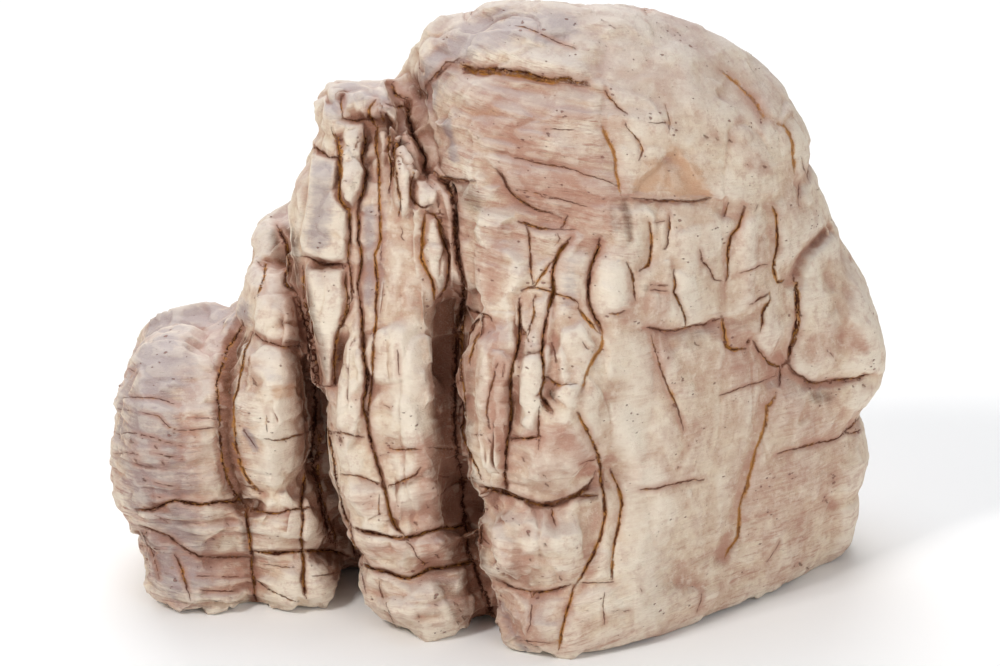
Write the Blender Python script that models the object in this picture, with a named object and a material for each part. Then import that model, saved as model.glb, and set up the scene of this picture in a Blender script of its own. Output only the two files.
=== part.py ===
"""Sandstone: one natural stone of upright, rounded columns under a broad dome.

The stone is a single solid. Its columns are skinned block by block, grown together into
one body, split by clefts, seams and facets, and cut flat where the stone rests.
Blocks are sketched in millimetres: X to the right, Y away from the front, Z up.
"""
import math

import bmesh
import bpy
import numpy as np
from mathutils import Vector, noise

MM = 0.001

# Real size of the stone, in metres
WIDTH = 0.243
DEPTH = 0.150
HEIGHT = 0.1862

# Fineness of the solid
ROUNDING_LEVELS = 2
GROWTH_VOXEL = 1.7 * MM
MOST_TRIANGLES = 9700
SETTLE_ROUNDS = 6
SETTLE_SHARE = 0.5
FOOT_CUT = -1.0 * MM

# A cleft is a sharp cut inside a wide, soft sag: the cut's share, and how fast each fades
CUT_SHARE = 0.65
CUT_FALL = 2.0
SAG_FALL = 0.25

# How far a step stays set back from its split, in millimetres
STEP_REACH = 8.0

# Lines fade where the skin turns away from the side they are drawn on
TURN_GAIN = 3.0
TURN_START = 1.0

# A struck face reaches this many times its search, on skin that leans its way at least so much
FACE_REACH = 2.0
FACE_LEAN = 0.3

STONE_COLOUR = (0.50, 0.38, 0.30, 1.0)
STONE_ROUGHNESS = 0.72

# The main mass: plan corners, anticlockwise from the front right edge, at each height
MASS = [
    (-12, [(24, -75), (66, -43), (109, 11), (107, 34), (92, 62), (45, 72),
           (-15, 69), (-54, 50), (-60, 5), (-24, -26), (-8, -34), (0, -60), (12, -77)]),
    (6, [(28, -75), (67, -43), (114, 10), (112, 34), (94, 63), (46, 74),
         (-16, 71), (-58, 50), (-62, 5), (-24, -28), (-7, -36), (-2, -60), (10, -76)]),
    (24, [(30, -71), (67, -42), (118, 9), (116, 34), (95, 63), (46, 74),
          (-16, 71), (-60, 50), (-62, 5), (-24, -28), (-9, -36), (-7, -58), (6, -72)]),
    (50, [(32, -69), (67, -40), (121, 8), (120, 36), (96, 63), (46, 74),
          (-18, 71), (-60, 50), (-62, 5), (-24, -30), (-11, -36), (-10, -57), (2, -70)]),
    (75, [(32, -67), (67, -38), (116, 6), (114, 36), (94, 63), (44, 72),
          (-20, 69), (-60, 46), (-60, 5), (-24, -30), (-11, -36), (-11, -55), (1, -68)]),
    (100, [(33, -64), (66, -36), (104, -2), (107, 32), (92, 60), (42, 70),
           (-24, 66), (-58, 42), (-58, 5), (-24, -24), (-13, -33), (-13, -51), (0, -64)]),
    (124, [(32, -59), (64, -34), (98, -3), (104, 30), (88, 57), (40, 66),
           (-24, 61), (-54, 34), (-52, 5), (-30, -8), (-20, -30), (-17, -44), (-2, -58)]),
    (142, [(33, -49), (62, -28), (95, 0), (101, 28), (84, 51), (38, 59),
           (-20, 54), (-44, 30), (-42, 5), (-30, -8), (-25, -20), (-20, -36), (0, -50)]),
    (160, [(33, -42), (60, -20), (83, 3), (87, 22), (69, 40), (34, 49),
           (-15, 42), (-31, 26), (-31, 6), (-29, -6), (-26, -16), (-20, -31), (0, -43)]),
    (172, [(32, -35), (54, -15), (68, 2), (70, 12), (56, 24), (30, 32),
           (-12, 29), (-24, 18), (-26, 6), (-25, -3), (-22, -12), (-15, -26), (2, -36)]),
    (181, [(30, -20), (43, -10), (50, 0), (50, 6), (42, 11), (26, 14),
           (-6, 14), (-16, 8), (-17, 4), (-15, -2), (-13, -7), (-8, -14), (4, -20)]),
    (186, [(18, -10), (24, -7), (28, -4), (29, -1), (25, 1), (18, 2),
           (4, 2), (-3, 1), (-4, -1), (-4, -3), (-3, -5), (0, -8), (8, -10)]),
]

# Columns: how square the plan is, then rings of height, left, right, front and back
COLUMNS = {
    "left_block_upper": (4.0, [
        (13, -109, -74, -32, 34), (18, -117, -73, -38, 39), (30, -120, -74, -39, 41),
        (50, -121, -75, -39, 41), (65, -119, -74, -38, 39), (75, -114, -71, -32, 36),
        (82.5, -104, -68, -20, 28)]),
    "left_block_lower": (3.4, [
        (-8, -99, -77, -35, 32), (2, -112, -75, -40, 38), (11, -116, -74, -39, 38),
        (18, -110, -75, -32, 34)]),
    "flake": (3.0, [
        (18, -84, -74, -28, 20), (34, -86, -76, -33, 20), (60, -88, -78, -34, 20),
        (76, -86, -75, -30, 20), (88, -82, -74, -24, 20)]),
    "second_column": (2.8, [
        (36, -80, -56, -32, 30), (42, -85, -56, -39, 30), (62, -86, -57, -40, 30),
        (78, -82, -58, -38, 30), (88, -79, -59, -33, 30), (97, -77, -61, -27, 24),
        (103, -73, -64, -18, 10)]),
    "second_column_waist": (2.8, [
        (13, -78, -56, -34, 30), (18, -83, -52, -40, 30), (35, -83, -53, -40, 30),
        (40, -78, -56, -33, 30)]),
    "second_column_foot": (2.8, [
        (-8, -71, -52, -31, 30), (2, -79, -48, -38, 30), (12, -81, -48, -39, 30),
        (17, -77, -52, -33, 30)]),
    "heart": (3.0, [
        (-8, -104, -34, -16, 40), (40, -104, -34, -20, 42), (78, -88, -34, -18, 40),
        (92, -76, -34, -12, 36)]),
    "rear_spur": (3.2, [
        (60, -81, -58, 2, 46), (90, -80, -58, 0, 44), (101, -77, -60, 0, 40),
        (107, -74, -60, 1, 36), (112, -69, -60, 6, 30)]),
    "left_plate": (3.0, [
        (64, -53, -45, -40, 20), (80, -58, -45, -42, 20), (98, -60, -45, -40, 20),
        (106, -62, -46, -37, 20), (122, -64, -46, -35, 20), (135, -63, -47, -30, 20),
        (144, -59, -49, -22, 20)]),
    "second_plate": (3.0, [
        (60, -51, -39, -45, 15), (100, -51, -38, -44, 15), (126, -52, -38, -38, 15),
        (147, -55, -39, -32, 15), (155, -56, -40, -27, 12), (163, -53, -43, -18, 8)]),
    "third_plate": (3.0, [
        (60, -42, -31, -48, 15), (100, -43, -31, -47, 15), (130, -42, -31, -40, 15),
        (149, -42, -31, -34, 15), (157, -42, -31, -27, 10), (163, -39, -33, -17, 4)]),
    "broad_plate": (3.2, [
        (60, -37, -16, -50, 10), (90, -37, -15, -51, 10), (116, -37, -16, -47, 10),
        (134, -37, -20, -42, 10), (147, -37, -26, -35, 8), (157, -35, -29, -27, 2)]),
    "lower_plates": (3.0, [
        (34, -49, -30, -46, 10), (44, -53, -29, -54, 10), (70, -52, -30, -55, 10),
        (92, -49, -31, -50, 10), (106, -45, -33, -43, 10)]),
    "lower_broad_plate": (3.0, [
        (34, -44, -14, -50, 5), (41, -41, -10, -59, 5), (54, -38, -11, -60, 5),
        (80, -36, -13, -57, 5), (106, -34, -17, -50, 5)]),
    "belt_block": (3.0, [
        (20, -42, -8, -50, 5), (26, -48, -6, -58, 5), (35, -49, -9, -59, 5),
        (40, -44, -14, -51, 5)]),
    "foot_block": (2.8, [
        (-8, -34, -6, -50, 0), (3, -41, -1, -58, 0), (16, -45, -2, -60, 0),
        (25, -42, -8, -50, 0)]),
    "left_pillar": (4.5, [
        (45, -8, 3, -64, -30), (52, -12, 5, -72, -30), (70, -12, 5, -71, -30),
        (90, -12, 5, -67, -30), (104, -11, 5, -62, -30), (112, -7, 3, -55, -30)]),
    "middle_pillar": (3.0, [
        (45, 5, 14, -66, -30), (51, 3, 16, -74, -30), (70, 3, 16, -73, -30),
        (90, 3, 15, -69, -30), (106, 4, 15, -64, -30), (117, 5, 13, -56, -30)]),
    "right_pillar": (3.0, [
        (44, 14, 26, -64, -30), (50, 12, 30, -73, -30), (64, 12, 32, -74, -30),
        (78, 13, 31, -72, -30), (92, 14, 31, -68, -30), (106, 16, 30, -60, -30)]),
    "bulge": (3.0, [
        (18, -3, 27, -66, -30), (24, -9, 31, -75, -30), (36, -10, 32, -75, -30),
        (43, -8, 31, -73, -30), (48, -4, 27, -65, -30)]),
    "front_foot": (3.0, [
        (-8, 3, 20, -65, -30), (2, -2, 24, -76, -30), (13, -3, 26, -77, -30),
        (20, 2, 23, -71, -30)]),
    "shoulder": (2.6, [
        (40, 84, 116, 4, 58), (56, 84, 122, -2, 58), (66, 88, 123, 0, 56),
        (78, 90, 120, 3, 52), (90, 92, 115, 8, 48), (102, 93, 107, 17, 42)]),
    "rear_left_column": (3.2, [
        (-8, -60, -34, 10, 60), (6, -66, -32, 8, 66), (44, -70, -33, 8, 67), (52, -68, -34, 8, 64),
        (60, -70, -33, 8, 66), (94, -68, -36, 8, 62), (114, -64, -39, 8, 52), (124, -58, -42, 8, 40)]),
    "rear_wide_column": (3.4, [
        (-8, -32, 6, 30, 70), (6, -35, 10, 30, 74), (30, -36, 10, 30, 76), (35, -34, 8, 30, 73),
        (42, -36, 9, 30, 76), (92, -38, 6, 30, 74), (98, -37, 4, 30, 69), (104, -38, 5, 30, 71),
        (128, -36, 4, 26, 65), (144, -31, -1, 22, 54)]),
    "rear_short_column": (2.8, [
        (-8, 12, 34, 30, 70), (6, 9, 38, 30, 76), (54, 8, 38, 30, 77), (61, 10, 36, 30, 73),
        (68, 8, 37, 30, 76), (88, 7, 35, 30, 73), (98, 11, 31, 30, 66)]),
    "rear_tall_column": (3.2, [
        (-8, 42, 66, 30, 66), (6, 38, 70, 30, 71), (40, 37, 73, 30, 74), (82, 36, 70, 30, 73),
        (88, 38, 68, 30, 69), (96, 35, 69, 30, 71), (134, 30, 62, 26, 61), (150, 32, 56, 20, 48)]),
    "rear_right_column": (3.0, [
        (-8, 74, 106, 10, 56), (6, 72, 112, 8, 62), (48, 73, 111, 8, 63), (54, 75, 107, 8, 60),
        (62, 72, 108, 8, 63), (92, 70, 102, 6, 58), (108, 72, 98, 6, 52), (118, 76, 93, 6, 44)]),
    "right_foot": (2.8, [
        (-8, 90, 110, 6, 42), (6, 90, 115, 3, 46), (28, 90, 118, 0, 48), (40, 92, 117, 2, 44)]),
}

# The front is sketched on a sheet of 1000 by 666 steps, as seen from a point in front of
# the stone and above it. Steps across run to the right, steps down run from the top.
SHEET_STEP = 0.311 * MM
SHEET_MIDDLE = (500, 333)
EYE_TILT = math.radians(18)
EYE_DISTANCE = 1.15
SIGHT_HEIGHT = 0.079

# Splits on the sheet: width, depth and step in millimetres, then the line from end to end.
# A step sets back the side on the right hand of someone who walks the line.
FRONT_SPLITS = {
    "left block waist": (3.5, 3.5, 0.0, [(120, 510), (150, 508), (168, 501), (200, 505), (245, 500)]),
    "left block belt": (3.0, 2.5, 0.6, [(132, 522), (160, 532), (188, 551), (245, 557)]),
    "flake left": (3.5, 5.0, 0.0, [(245, 320), (228, 350), (216, 385), (222, 440), (236, 495),
                                   (246, 508)]),
    "flake right": (2.5, 2.5, 0.0, [(252, 335), (240, 380), (234, 415), (240, 465), (258, 490)]),
    "second column top": (2.5, 2.0, 0.0, [(252, 332), (275, 343), (300, 346)]),
    "second column waist": (2.5, 2.0, 0.0, [(243, 500), (260, 510), (285, 512), (312, 507)]),
    "second column belt": (3.5, 3.0, 0.0, [(248, 551), (295, 552), (333, 551)]),
    "second column split": (2.5, 3.0, 0.0, [(306, 470), (301, 505), (303, 565), (307, 597)]),
    "left plate ledge": (2.5, 2.0, 0.8, [(302, 256), (322, 264), (342, 263)]),
    "left plate": (3.0, 3.5, 1.0, [(343, 130), (350, 207), (349, 258), (352, 300), (337, 340),
                                   (334, 385)]),
    "second plate": (3.5, 4.5, 0.0, [(366, 118), (366, 180), (359, 205), (362, 250), (359, 290),
                                     (362, 340), (366, 388), (369, 432), (383, 483), (395, 528)]),
    "third plate": (3.0, 4.5, 0.0, [(380, 100), (376, 148), (381, 200), (376, 268), (375, 320),
                                    (373, 360), (368, 420)]),
    "top slab": (2.5, 2.5, 0.0, [(396, 120), (394, 160), (399, 200), (398, 225)]),
    "under dome": (2.5, 5.0, 0.0, [(406, 90), (413, 133), (425, 165), (440, 178), (453, 210),
                                   (460, 270), (462, 320)]),
    "pillar left": (3.0, 3.0, 0.0, [(423, 215), (421, 258), (433, 290), (438, 320)]),
    "main cleft": (3.5, 9.0, 0.0, [(459, 300), (455, 360), (456, 420), (461, 480), (466, 530),
                                   (480, 575), (494, 637)]),
    "plate waist": (2.0, 1.5, 0.0, [(332, 432), (367, 437)]),
    "plate knees": (2.5, 2.0, 0.0, [(340, 474), (385, 486), (420, 470)]),
    "plate belt": (4.0, 4.0, 0.0, [(350, 526), (375, 533), (410, 536), (440, 528), (468, 523)]),
    "plate foot": (4.0, 3.5, 0.0, [(358, 562), (380, 571), (410, 579), (440, 568), (480, 561)]),
    "cap": (3.0, 3.0, 1.0, [(458, 63), (505, 70), (552, 79), (590, 83)]),
    "rim": (2.5, 1.8, 0.0, [(494, 12), (462, 42), (432, 53)]),
    "rim lower": (2.5, 1.8, 0.8, [(412, 105), (434, 76), (462, 58)]),
    "dome crease": (2.5, 1.5, 0.0, [(604, 88), (611, 145), (622, 195), (628, 240)]),
    "brow": (3.5, 3.0, 2.0, [(497, 170), (515, 196), (553, 213), (575, 229)]),
    "ochre ledge": (3.0, 1.5, 0.0, [(630, 197), (680, 201), (712, 200)]),
    "long crack": (3.5, 4.0, 0.0, [(571, 238), (555, 262), (553, 295), (545, 335), (543, 365),
                                   (543, 398)]),
    "oval block left": (3.5, 3.5, 0.0, [(602, 238), (588, 285), (592, 312), (603, 332)]),
    "oval block foot": (2.5, 1.5, 0.0, [(596, 332), (584, 378), (580, 413)]),
    "pillar middle": (3.0, 3.0, 0.0, [(520, 298), (519, 340), (511, 390), (507, 450), (507, 488)]),
    "pillar inner": (2.5, 2.0, 0.0, [(480, 333), (470, 365), (470, 400), (478, 440)]),
    "pillar foot": (4.5, 4.0, 3.0, [(478, 484), (512, 495), (555, 502), (588, 488), (597, 470)]),
    "front crack": (3.0, 3.5, 0.0, [(578, 413), (599, 458), (604, 505), (594, 555), (577, 585)]),
    "front crack beside": (2.5, 2.0, 0.0, [(610, 469), (621, 505), (613, 577)]),
    "bulge foot": (3.5, 3.0, 1.0, [(494, 580), (537, 592), (575, 586), (614, 581)]),
    "foot split": (3.0, 2.5, 0.0, [(576, 586), (564, 622), (559, 650)]),
    "bay left": (3.0, 2.5, 0.0, [(650, 222), (651, 258), (640, 272)]),
    "bay middle": (3.0, 2.5, 0.0, [(725, 210), (742, 218), (728, 250), (727, 290), (724, 318)]),
    "bay right": (3.5, 3.0, 0.0, [(770, 205), (777, 245), (777, 282)]),
    "bay floor": (3.0, 2.0, 0.5, [(649, 327), (684, 328), (724, 318), (762, 312)]),
    "shoulder left": (4.0, 4.5, 0.0, [(794, 272), (796, 310), (789, 362)]),
    "shoulder seam": (3.0, 2.5, 1.5, [(756, 342), (780, 367), (815, 383), (873, 374)]),
    "orange crack": (3.0, 3.0, 0.0, [(779, 372), (767, 410), (748, 475), (738, 520), (724, 558)]),
    "right seam": (2.5, 1.5, 0.0, [(778, 455), (815, 444), (848, 430), (864, 414)]),
}

# Splits of the hidden sides, drawn in millimetres on plain elevations: the outward way of
# the side, its two axes, then the same kinds of lines as on the front
SIDE_SPLITS = [
    ((0, 1, 0), (0, 2), {
        "upright a": (3.5, 5.0, 0.0, [(-32, 2), (-31, 40), (-34, 80), (-30, 120), (-24, 150)]),
        "upright b": (3.5, 5.0, 0.0, [(11, 0), (9, 44), (12, 90), (8, 132), (2, 158)]),
        "upright c": (3.0, 4.0, 0.0, [(39, 4), (38, 50), (41, 96), (37, 140), (30, 166)]),
        "upright d": (3.5, 5.0, 0.0, [(73, 2), (72, 48), (75, 90), (70, 122), (62, 146)]),
        "inner split": (2.5, 2.5, 0.0, [(-8, 46), (-12, 70), (-10, 96), (-15, 118)]),
        "short split": (2.5, 2.5, 0.0, [(56, 8), (58, 36), (54, 52)]),
        "seam a": (3.0, 2.5, 1.0, [(-66, 54), (-50, 51), (-34, 55)]),
        "seam b": (3.0, 2.5, 1.0, [(-34, 36), (-14, 33), (10, 37)]),
        "seam c": (3.0, 2.5, 1.0, [(10, 64), (38, 62)]),
        "seam d": (3.0, 2.5, 1.5, [(38, 90), (56, 87), (74, 91)]),
        "seam e": (3.0, 2.0, 0.8, [(-30, 98), (-8, 95), (10, 99)]),
        "seam f": (3.0, 2.0, 1.0, [(74, 56), (92, 53), (112, 57)]),
        "crown ledge": (4.0, 3.0, 2.0, [(66, 150), (40, 160), (10, 156), (-22, 148), (-34, 138)]),
    }),
    ((1, 0, 0), (1, 2), {
        "upright": (3.5, 4.0, 0.0, [(46, 2), (44, 40), (47, 74), (42, 110), (34, 140)]),
        "seam": (3.0, 2.5, 1.2, [(56, 52), (30, 44), (4, 47)]),
        "low seam": (2.5, 2.0, 0.6, [(48, 24), (20, 20), (0, 23)]),
        "crown": (3.0, 2.5, 1.0, [(44, 126), (20, 130), (0, 127)]),
    }),
    ((-1, 0, 0), (1, 2), {
        "block belt": (3.0, 2.5, 0.6, [(-36, 17), (-6, 19), (18, 15), (40, 18)]),
        "block split": (3.0, 3.0, 0.0, [(8, 2), (10, 30), (6, 58), (9, 82)]),
        "block seam": (2.5, 2.0, 0.6, [(6, 52), (24, 55), (41, 51)]),
        "rear split": (3.0, 3.5, 0.0, [(52, 2), (50, 44), (53, 84), (46, 118)]),
    }),
    ((0, 0, 1), (0, 1), {
        "crown split": (3.0, 3.0, 0.0, [(4, 60), (2, 36), (-6, 14), (-10, 0)]),
        "crown crack": (2.5, 2.5, 0.0, [(76, 36), (58, 22), (36, 14)]),
        "left block crack": (2.5, 2.0, 0.0, [(-118, 10), (-98, 8), (-76, 12)]),
    }),
]

# Flat faces struck off the lumps: a spot near the face, its outward way, the reach of the
# search for the lump's crest, and how far below the crest the face lies
FACETS = [
    ((50, -22, 140), (0.42, -0.62, 0.66), 20, 3.0),
    ((76, -4, 136), (0.66, -0.45, 0.60), 18, 3.0),
    ((64, 4, 162), (0.50, -0.30, 0.82), 20, 2.5),
    ((90, 14, 140), (0.90, -0.05, 0.42), 20, 2.5),
    ((10, -46, 150), (0.0, -0.93, 0.36), 30, 3.0),
    ((-20, -24, 160), (-0.62, -0.60, 0.50), 14, 1.5),
    ((20, 40, 165), (0.10, 0.62, 0.78), 26, 3.0),
    ((66, 40, 146), (0.55, 0.62, 0.56), 24, 3.0),
    ((-28, 40, 142), (-0.55, 0.62, 0.56), 22, 3.0),
    ((-106, -16, 80), (-0.50, -0.35, 0.80), 18, 2.0),
    ((-96, 10, 84), (0.0, 0.10, 0.99), 20, 1.5),
]

# Swells of the worn skin: size across, then height, in millimetres
SWELLS = [(36.0, 2.0), (14.0, 0.9)]


def oval_plan(left, right, front, back, squareness, corners=20):
    """Return the corners of a rounded rectangle, anticlockwise from the right."""
    points = []
    for step in range(corners):
        turn = 2 * math.pi * step / corners
        across = math.copysign(abs(math.cos(turn)) ** (2 / squareness), math.cos(turn))
        along = math.copysign(abs(math.sin(turn)) ** (2 / squareness), math.sin(turn))
        points.append(((left + right) / 2 + across * (right - left) / 2,
                       (front + back) / 2 + along * (back - front) / 2))
    return points


def skin(bm, rings):
    """Skin one closed block over its rings, each a height and its plan corners."""
    loops = []
    for height, corners in rings:
        loops.append([bm.verts.new((x * MM, y * MM, height * MM)) for x, y in corners])
    for lower, upper in zip(loops, loops[1:]):
        for here in range(len(lower)):
            after = (here + 1) % len(lower)
            bm.faces.new((lower[here], lower[after], upper[after], upper[here]))
    bm.faces.new(loops[0][::-1])
    bm.faces.new(loops[-1])


def rough_blocks():
    """Return one mesh that holds every block as its own closed shape."""
    bm = bmesh.new()
    skin(bm, MASS)
    for squareness, rings in COLUMNS.values():
        plans = [(height, oval_plan(*sides, squareness)) for height, *sides in rings]
        skin(bm, plans)
    mesh = bpy.data.meshes.new("sandstone")
    bm.to_mesh(mesh)
    bm.free()
    return mesh


def apply_modifiers(stone):
    """Turn what the stone's modifiers make into its own mesh."""
    depsgraph = bpy.context.evaluated_depsgraph_get()
    made = bpy.data.meshes.new_from_object(stone.evaluated_get(depsgraph))
    stone.modifiers.clear()
    stone.data = made


def grow_together(stone):
    """Round the blocks, then grow them into one body with an even skin."""
    rounding = stone.modifiers.new("rounding", "SUBSURF")
    rounding.levels = ROUNDING_LEVELS
    rounding.render_levels = ROUNDING_LEVELS
    remesh = stone.modifiers.new("grow", "REMESH")
    remesh.mode = "VOXEL"
    remesh.voxel_size = GROWTH_VOXEL
    apply_modifiers(stone)


def coarsen(stone):
    """Spend few triangles on plain faces and keep them where the stone is split."""
    stone.data.calc_loop_triangles()
    decimate = stone.modifiers.new("coarsen", "DECIMATE")
    decimate.ratio = MOST_TRIANGLES / len(stone.data.loop_triangles)
    apply_modifiers(stone)


def places(mesh):
    """Return the mesh's points as rows, in metres."""
    flat = np.empty(len(mesh.vertices) * 3)
    mesh.vertices.foreach_get("co", flat)
    return flat.reshape(-1, 3)


def facings(mesh):
    """Return the mesh's outward directions at its points."""
    flat = np.empty(len(mesh.vertices) * 3)
    mesh.vertices.foreach_get("normal", flat)
    return flat.reshape(-1, 3)


def put(mesh, points):
    """Move the mesh's points."""
    mesh.vertices.foreach_set("co", points.ravel())
    mesh.update()


def settle(mesh, rounds):
    """Soften the skin by moving each point some way to its neighbours' middle."""
    edges = np.empty(len(mesh.edges) * 2, dtype=np.int64)
    mesh.edges.foreach_get("vertices", edges)
    first, second = edges.reshape(-1, 2).T
    points = places(mesh)
    count = np.bincount(edges, minlength=len(points))[:, None]
    for _ in range(rounds):
        total = np.zeros_like(points)
        for axis in range(3):
            total[:, axis] += np.bincount(first, points[second, axis], len(points))
            total[:, axis] += np.bincount(second, points[first, axis], len(points))
        points += SETTLE_SHARE * (total / count - points)
    put(mesh, points)


def sheet_places(points):
    """Return where the points fall on the front sheet, and the way from the eye to them."""
    eye = np.array((0.0, -math.cos(EYE_TILT), math.sin(EYE_TILT))) * EYE_DISTANCE
    eye[2] += SIGHT_HEIGHT
    way = points - eye
    away = way[:, 1] * math.cos(EYE_TILT) - way[:, 2] * math.sin(EYE_TILT)
    up = way[:, 1] * math.sin(EYE_TILT) + way[:, 2] * math.cos(EYE_TILT)
    steps = EYE_DISTANCE / (away * SHEET_STEP)
    across = SHEET_MIDDLE[0] + way[:, 0] * steps
    down = SHEET_MIDDLE[1] - up * steps
    return np.column_stack((across, down)), way / np.linalg.norm(way, axis=1)[:, None]


def line_gaps(spots, line):
    """Return how far each spot is from a line of straight runs, and on which side."""
    nearest = np.full(len(spots), np.inf)
    side = np.zeros(len(spots))
    for start, end in zip(np.array(line[:-1], float), np.array(line[1:], float)):
        run = end - start
        share = np.clip((spots - start) @ run / (run @ run), 0.0, 1.0)
        gap = spots - start - share[:, None] * run
        far = np.hypot(gap[:, 0], gap[:, 1])
        turn = (run[0] * gap[:, 1] - run[1] * gap[:, 0]) / np.maximum(far, 1e-9) / np.hypot(*run)
        side = np.where(far < nearest, turn, side)
        nearest = np.minimum(nearest, far)
    return nearest, side


def sink_of(spots, unit, lines):
    """Return how deep each spot sinks, in metres, for lines drawn in the given unit."""
    deepest = np.zeros(len(spots))
    step_back = np.zeros(len(spots))
    for width, depth, step, line in lines.values():
        gap, side = line_gaps(spots, line)
        gap = gap * unit / (width * MM)
        cut = CUT_SHARE * np.exp(-CUT_FALL * gap ** 2)
        sag = (1.0 - CUT_SHARE) * np.exp(-SAG_FALL * gap ** 2)
        deepest = np.maximum(deepest, depth * MM * (cut + sag))
        past = np.clip(side, 0.0, 1.0)
        step_back += step * MM * past * np.exp(-gap * width / STEP_REACH)
    return deepest + step_back


def swell(mesh):
    """Raise and lower the skin in soft lumps."""
    points = places(mesh)
    outward = facings(mesh)
    for across, height in SWELLS:
        lumps = [noise.noise(Vector(point) / (across * MM)) for point in points]
        points += outward * (np.array(lumps) * height * MM)[:, None]
    put(mesh, points)


def strike_facets(mesh):
    """Flatten the crests of the lumps to the struck faces."""
    points = places(mesh)
    outward = facings(mesh)
    for place, way, reach, cut in FACETS:
        way = np.array(way) / np.linalg.norm(way)
        offset = points - np.array(place) * MM
        height = offset @ way
        aside = np.linalg.norm(offset - height[:, None] * way, axis=1)
        near = (aside < FACE_REACH * reach * MM) & (np.abs(height) < reach * MM)
        lump = near & (outward @ way > FACE_LEAN)
        crest = height[lump & (aside < reach * MM)].max()
        past = np.where(lump, height - (crest - cut * MM), 0.0)
        points -= way * np.clip(past, 0.0, None)[:, None]
    put(mesh, points)


def split(mesh):
    """Sink the clefts and seams into the front and the other sides."""
    points = places(mesh)
    outward = facings(mesh)
    on_sheet, sight = sheet_places(points)
    facing = np.clip(-(outward * sight).sum(axis=1) * TURN_GAIN, 0.0, 1.0)
    sink = sink_of(on_sheet, SHEET_STEP, FRONT_SPLITS) * facing
    for way, axes, lines in SIDE_SPLITS:
        facing = np.clip(outward @ np.array(way) * TURN_GAIN - TURN_START, 0.0, 1.0)
        sink = np.maximum(sink, sink_of(points[:, axes] / MM, MM, lines) * facing)
    points -= outward * sink[:, None]
    put(mesh, points)


def cut_foot(mesh):
    """Cut the stone flat where it rests and close the cut."""
    bm = bmesh.new()
    bm.from_mesh(mesh)
    everything = bm.verts[:] + bm.edges[:] + bm.faces[:]
    bmesh.ops.bisect_plane(bm, geom=everything, plane_co=(0, 0, FOOT_CUT),
                           plane_no=(0, 0, 1), clear_inner=True)
    rim = [edge for edge in bm.edges if edge.is_boundary]
    bmesh.ops.holes_fill(bm, edges=rim)
    bmesh.ops.triangulate(bm, faces=[face for face in bm.faces if len(face.verts) > 3])
    bmesh.ops.recalc_face_normals(bm, faces=bm.faces)
    bm.to_mesh(mesh)
    bm.free()


def fit_size(mesh):
    """Bring the stone to its exact size, with the origin under its middle."""
    points = places(mesh)
    low = points.min(axis=0)
    high = points.max(axis=0)
    middle = np.array(((low[0] + high[0]) / 2, (low[1] + high[1]) / 2, low[2]))
    put(mesh, (points - middle) * np.array((WIDTH, DEPTH, HEIGHT)) / (high - low))


def stone_material():
    """Return the pale, dull sandstone finish."""
    material = bpy.data.materials.new("sandstone")
    material.use_nodes = True
    shader = material.node_tree.nodes["Principled BSDF"]
    shader.inputs["Base Color"].default_value = STONE_COLOUR
    shader.inputs["Roughness"].default_value = STONE_ROUGHNESS
    shader.inputs["Metallic"].default_value = 0.0
    return material


def make_stone():
    """Build the whole stone."""
    stone = bpy.data.objects.new("sandstone", rough_blocks())
    bpy.context.collection.objects.link(stone)
    grow_together(stone)
    swell(stone.data)
    settle(stone.data, SETTLE_ROUNDS)
    strike_facets(stone.data)
    split(stone.data)
    coarsen(stone)
    cut_foot(stone.data)
    fit_size(stone.data)
    stone.data.materials.clear()
    stone.data.materials.append(stone_material())
    return stone


for old in list(bpy.data.objects):
    bpy.data.objects.remove(old, do_unlink=True)
make_stone()
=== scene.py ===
# %% [markdown]
# A sandstone in one piece
#
# The real object is one natural stone that stands on a flat underside. The frame holds its
# plain solid. This lesson sets up the camera and then gives that solid its skin: the worn
# surface first, then the cracks and seams, then the colours of the stone. The floor and the
# light come last. A sculpted high-resolution mesh would be the usual way. Here the carving
# is written as lines and rules, because lines can be read, changed and carved again.

# %% The frame
import itertools
import math
import random

import bpy
import numpy as np
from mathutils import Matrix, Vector
from mathutils.bvhtree import BVHTree


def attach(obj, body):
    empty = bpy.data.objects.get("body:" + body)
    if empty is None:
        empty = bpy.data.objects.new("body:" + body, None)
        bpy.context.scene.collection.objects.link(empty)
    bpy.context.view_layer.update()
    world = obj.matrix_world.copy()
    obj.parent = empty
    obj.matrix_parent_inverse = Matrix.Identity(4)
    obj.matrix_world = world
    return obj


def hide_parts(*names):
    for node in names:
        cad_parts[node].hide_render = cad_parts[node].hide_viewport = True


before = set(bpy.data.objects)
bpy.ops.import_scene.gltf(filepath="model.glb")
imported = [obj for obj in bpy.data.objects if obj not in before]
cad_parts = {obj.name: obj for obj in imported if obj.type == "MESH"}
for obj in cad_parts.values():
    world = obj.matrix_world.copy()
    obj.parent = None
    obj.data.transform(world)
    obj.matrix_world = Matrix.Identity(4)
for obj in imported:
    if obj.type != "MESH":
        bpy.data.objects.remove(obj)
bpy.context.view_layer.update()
MM = 0.001

# %% [markdown]
# Where the stone is seen from
#
# The photograph looks at the stone from about 18 degrees above, with a long lens. The
# camera comes first, because the cracks are later carved along the lines of sight of this
# one picture. The picture is 1000 pixels wide and 666 high.

# %% The camera
PICTURE = (1000, 666)
SENSOR_WIDTH = 36.0
LENS = 133.1
EYE_DISTANCE = 1.15
EYE_TILT = math.radians(18)
AIM = Vector((-1.0, -1.3, 80.0)) * MM
PIXELS_PER_TURN = LENS / SENSOR_WIDTH * PICTURE[0]

right_way = np.array((1.0, 0.0, 0.0))
forward_way = np.array((0.0, math.cos(EYE_TILT), -math.sin(EYE_TILT)))
up_way = np.array((0.0, math.sin(EYE_TILT), math.cos(EYE_TILT)))
eye = np.array(AIM) - forward_way * EYE_DISTANCE

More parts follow.
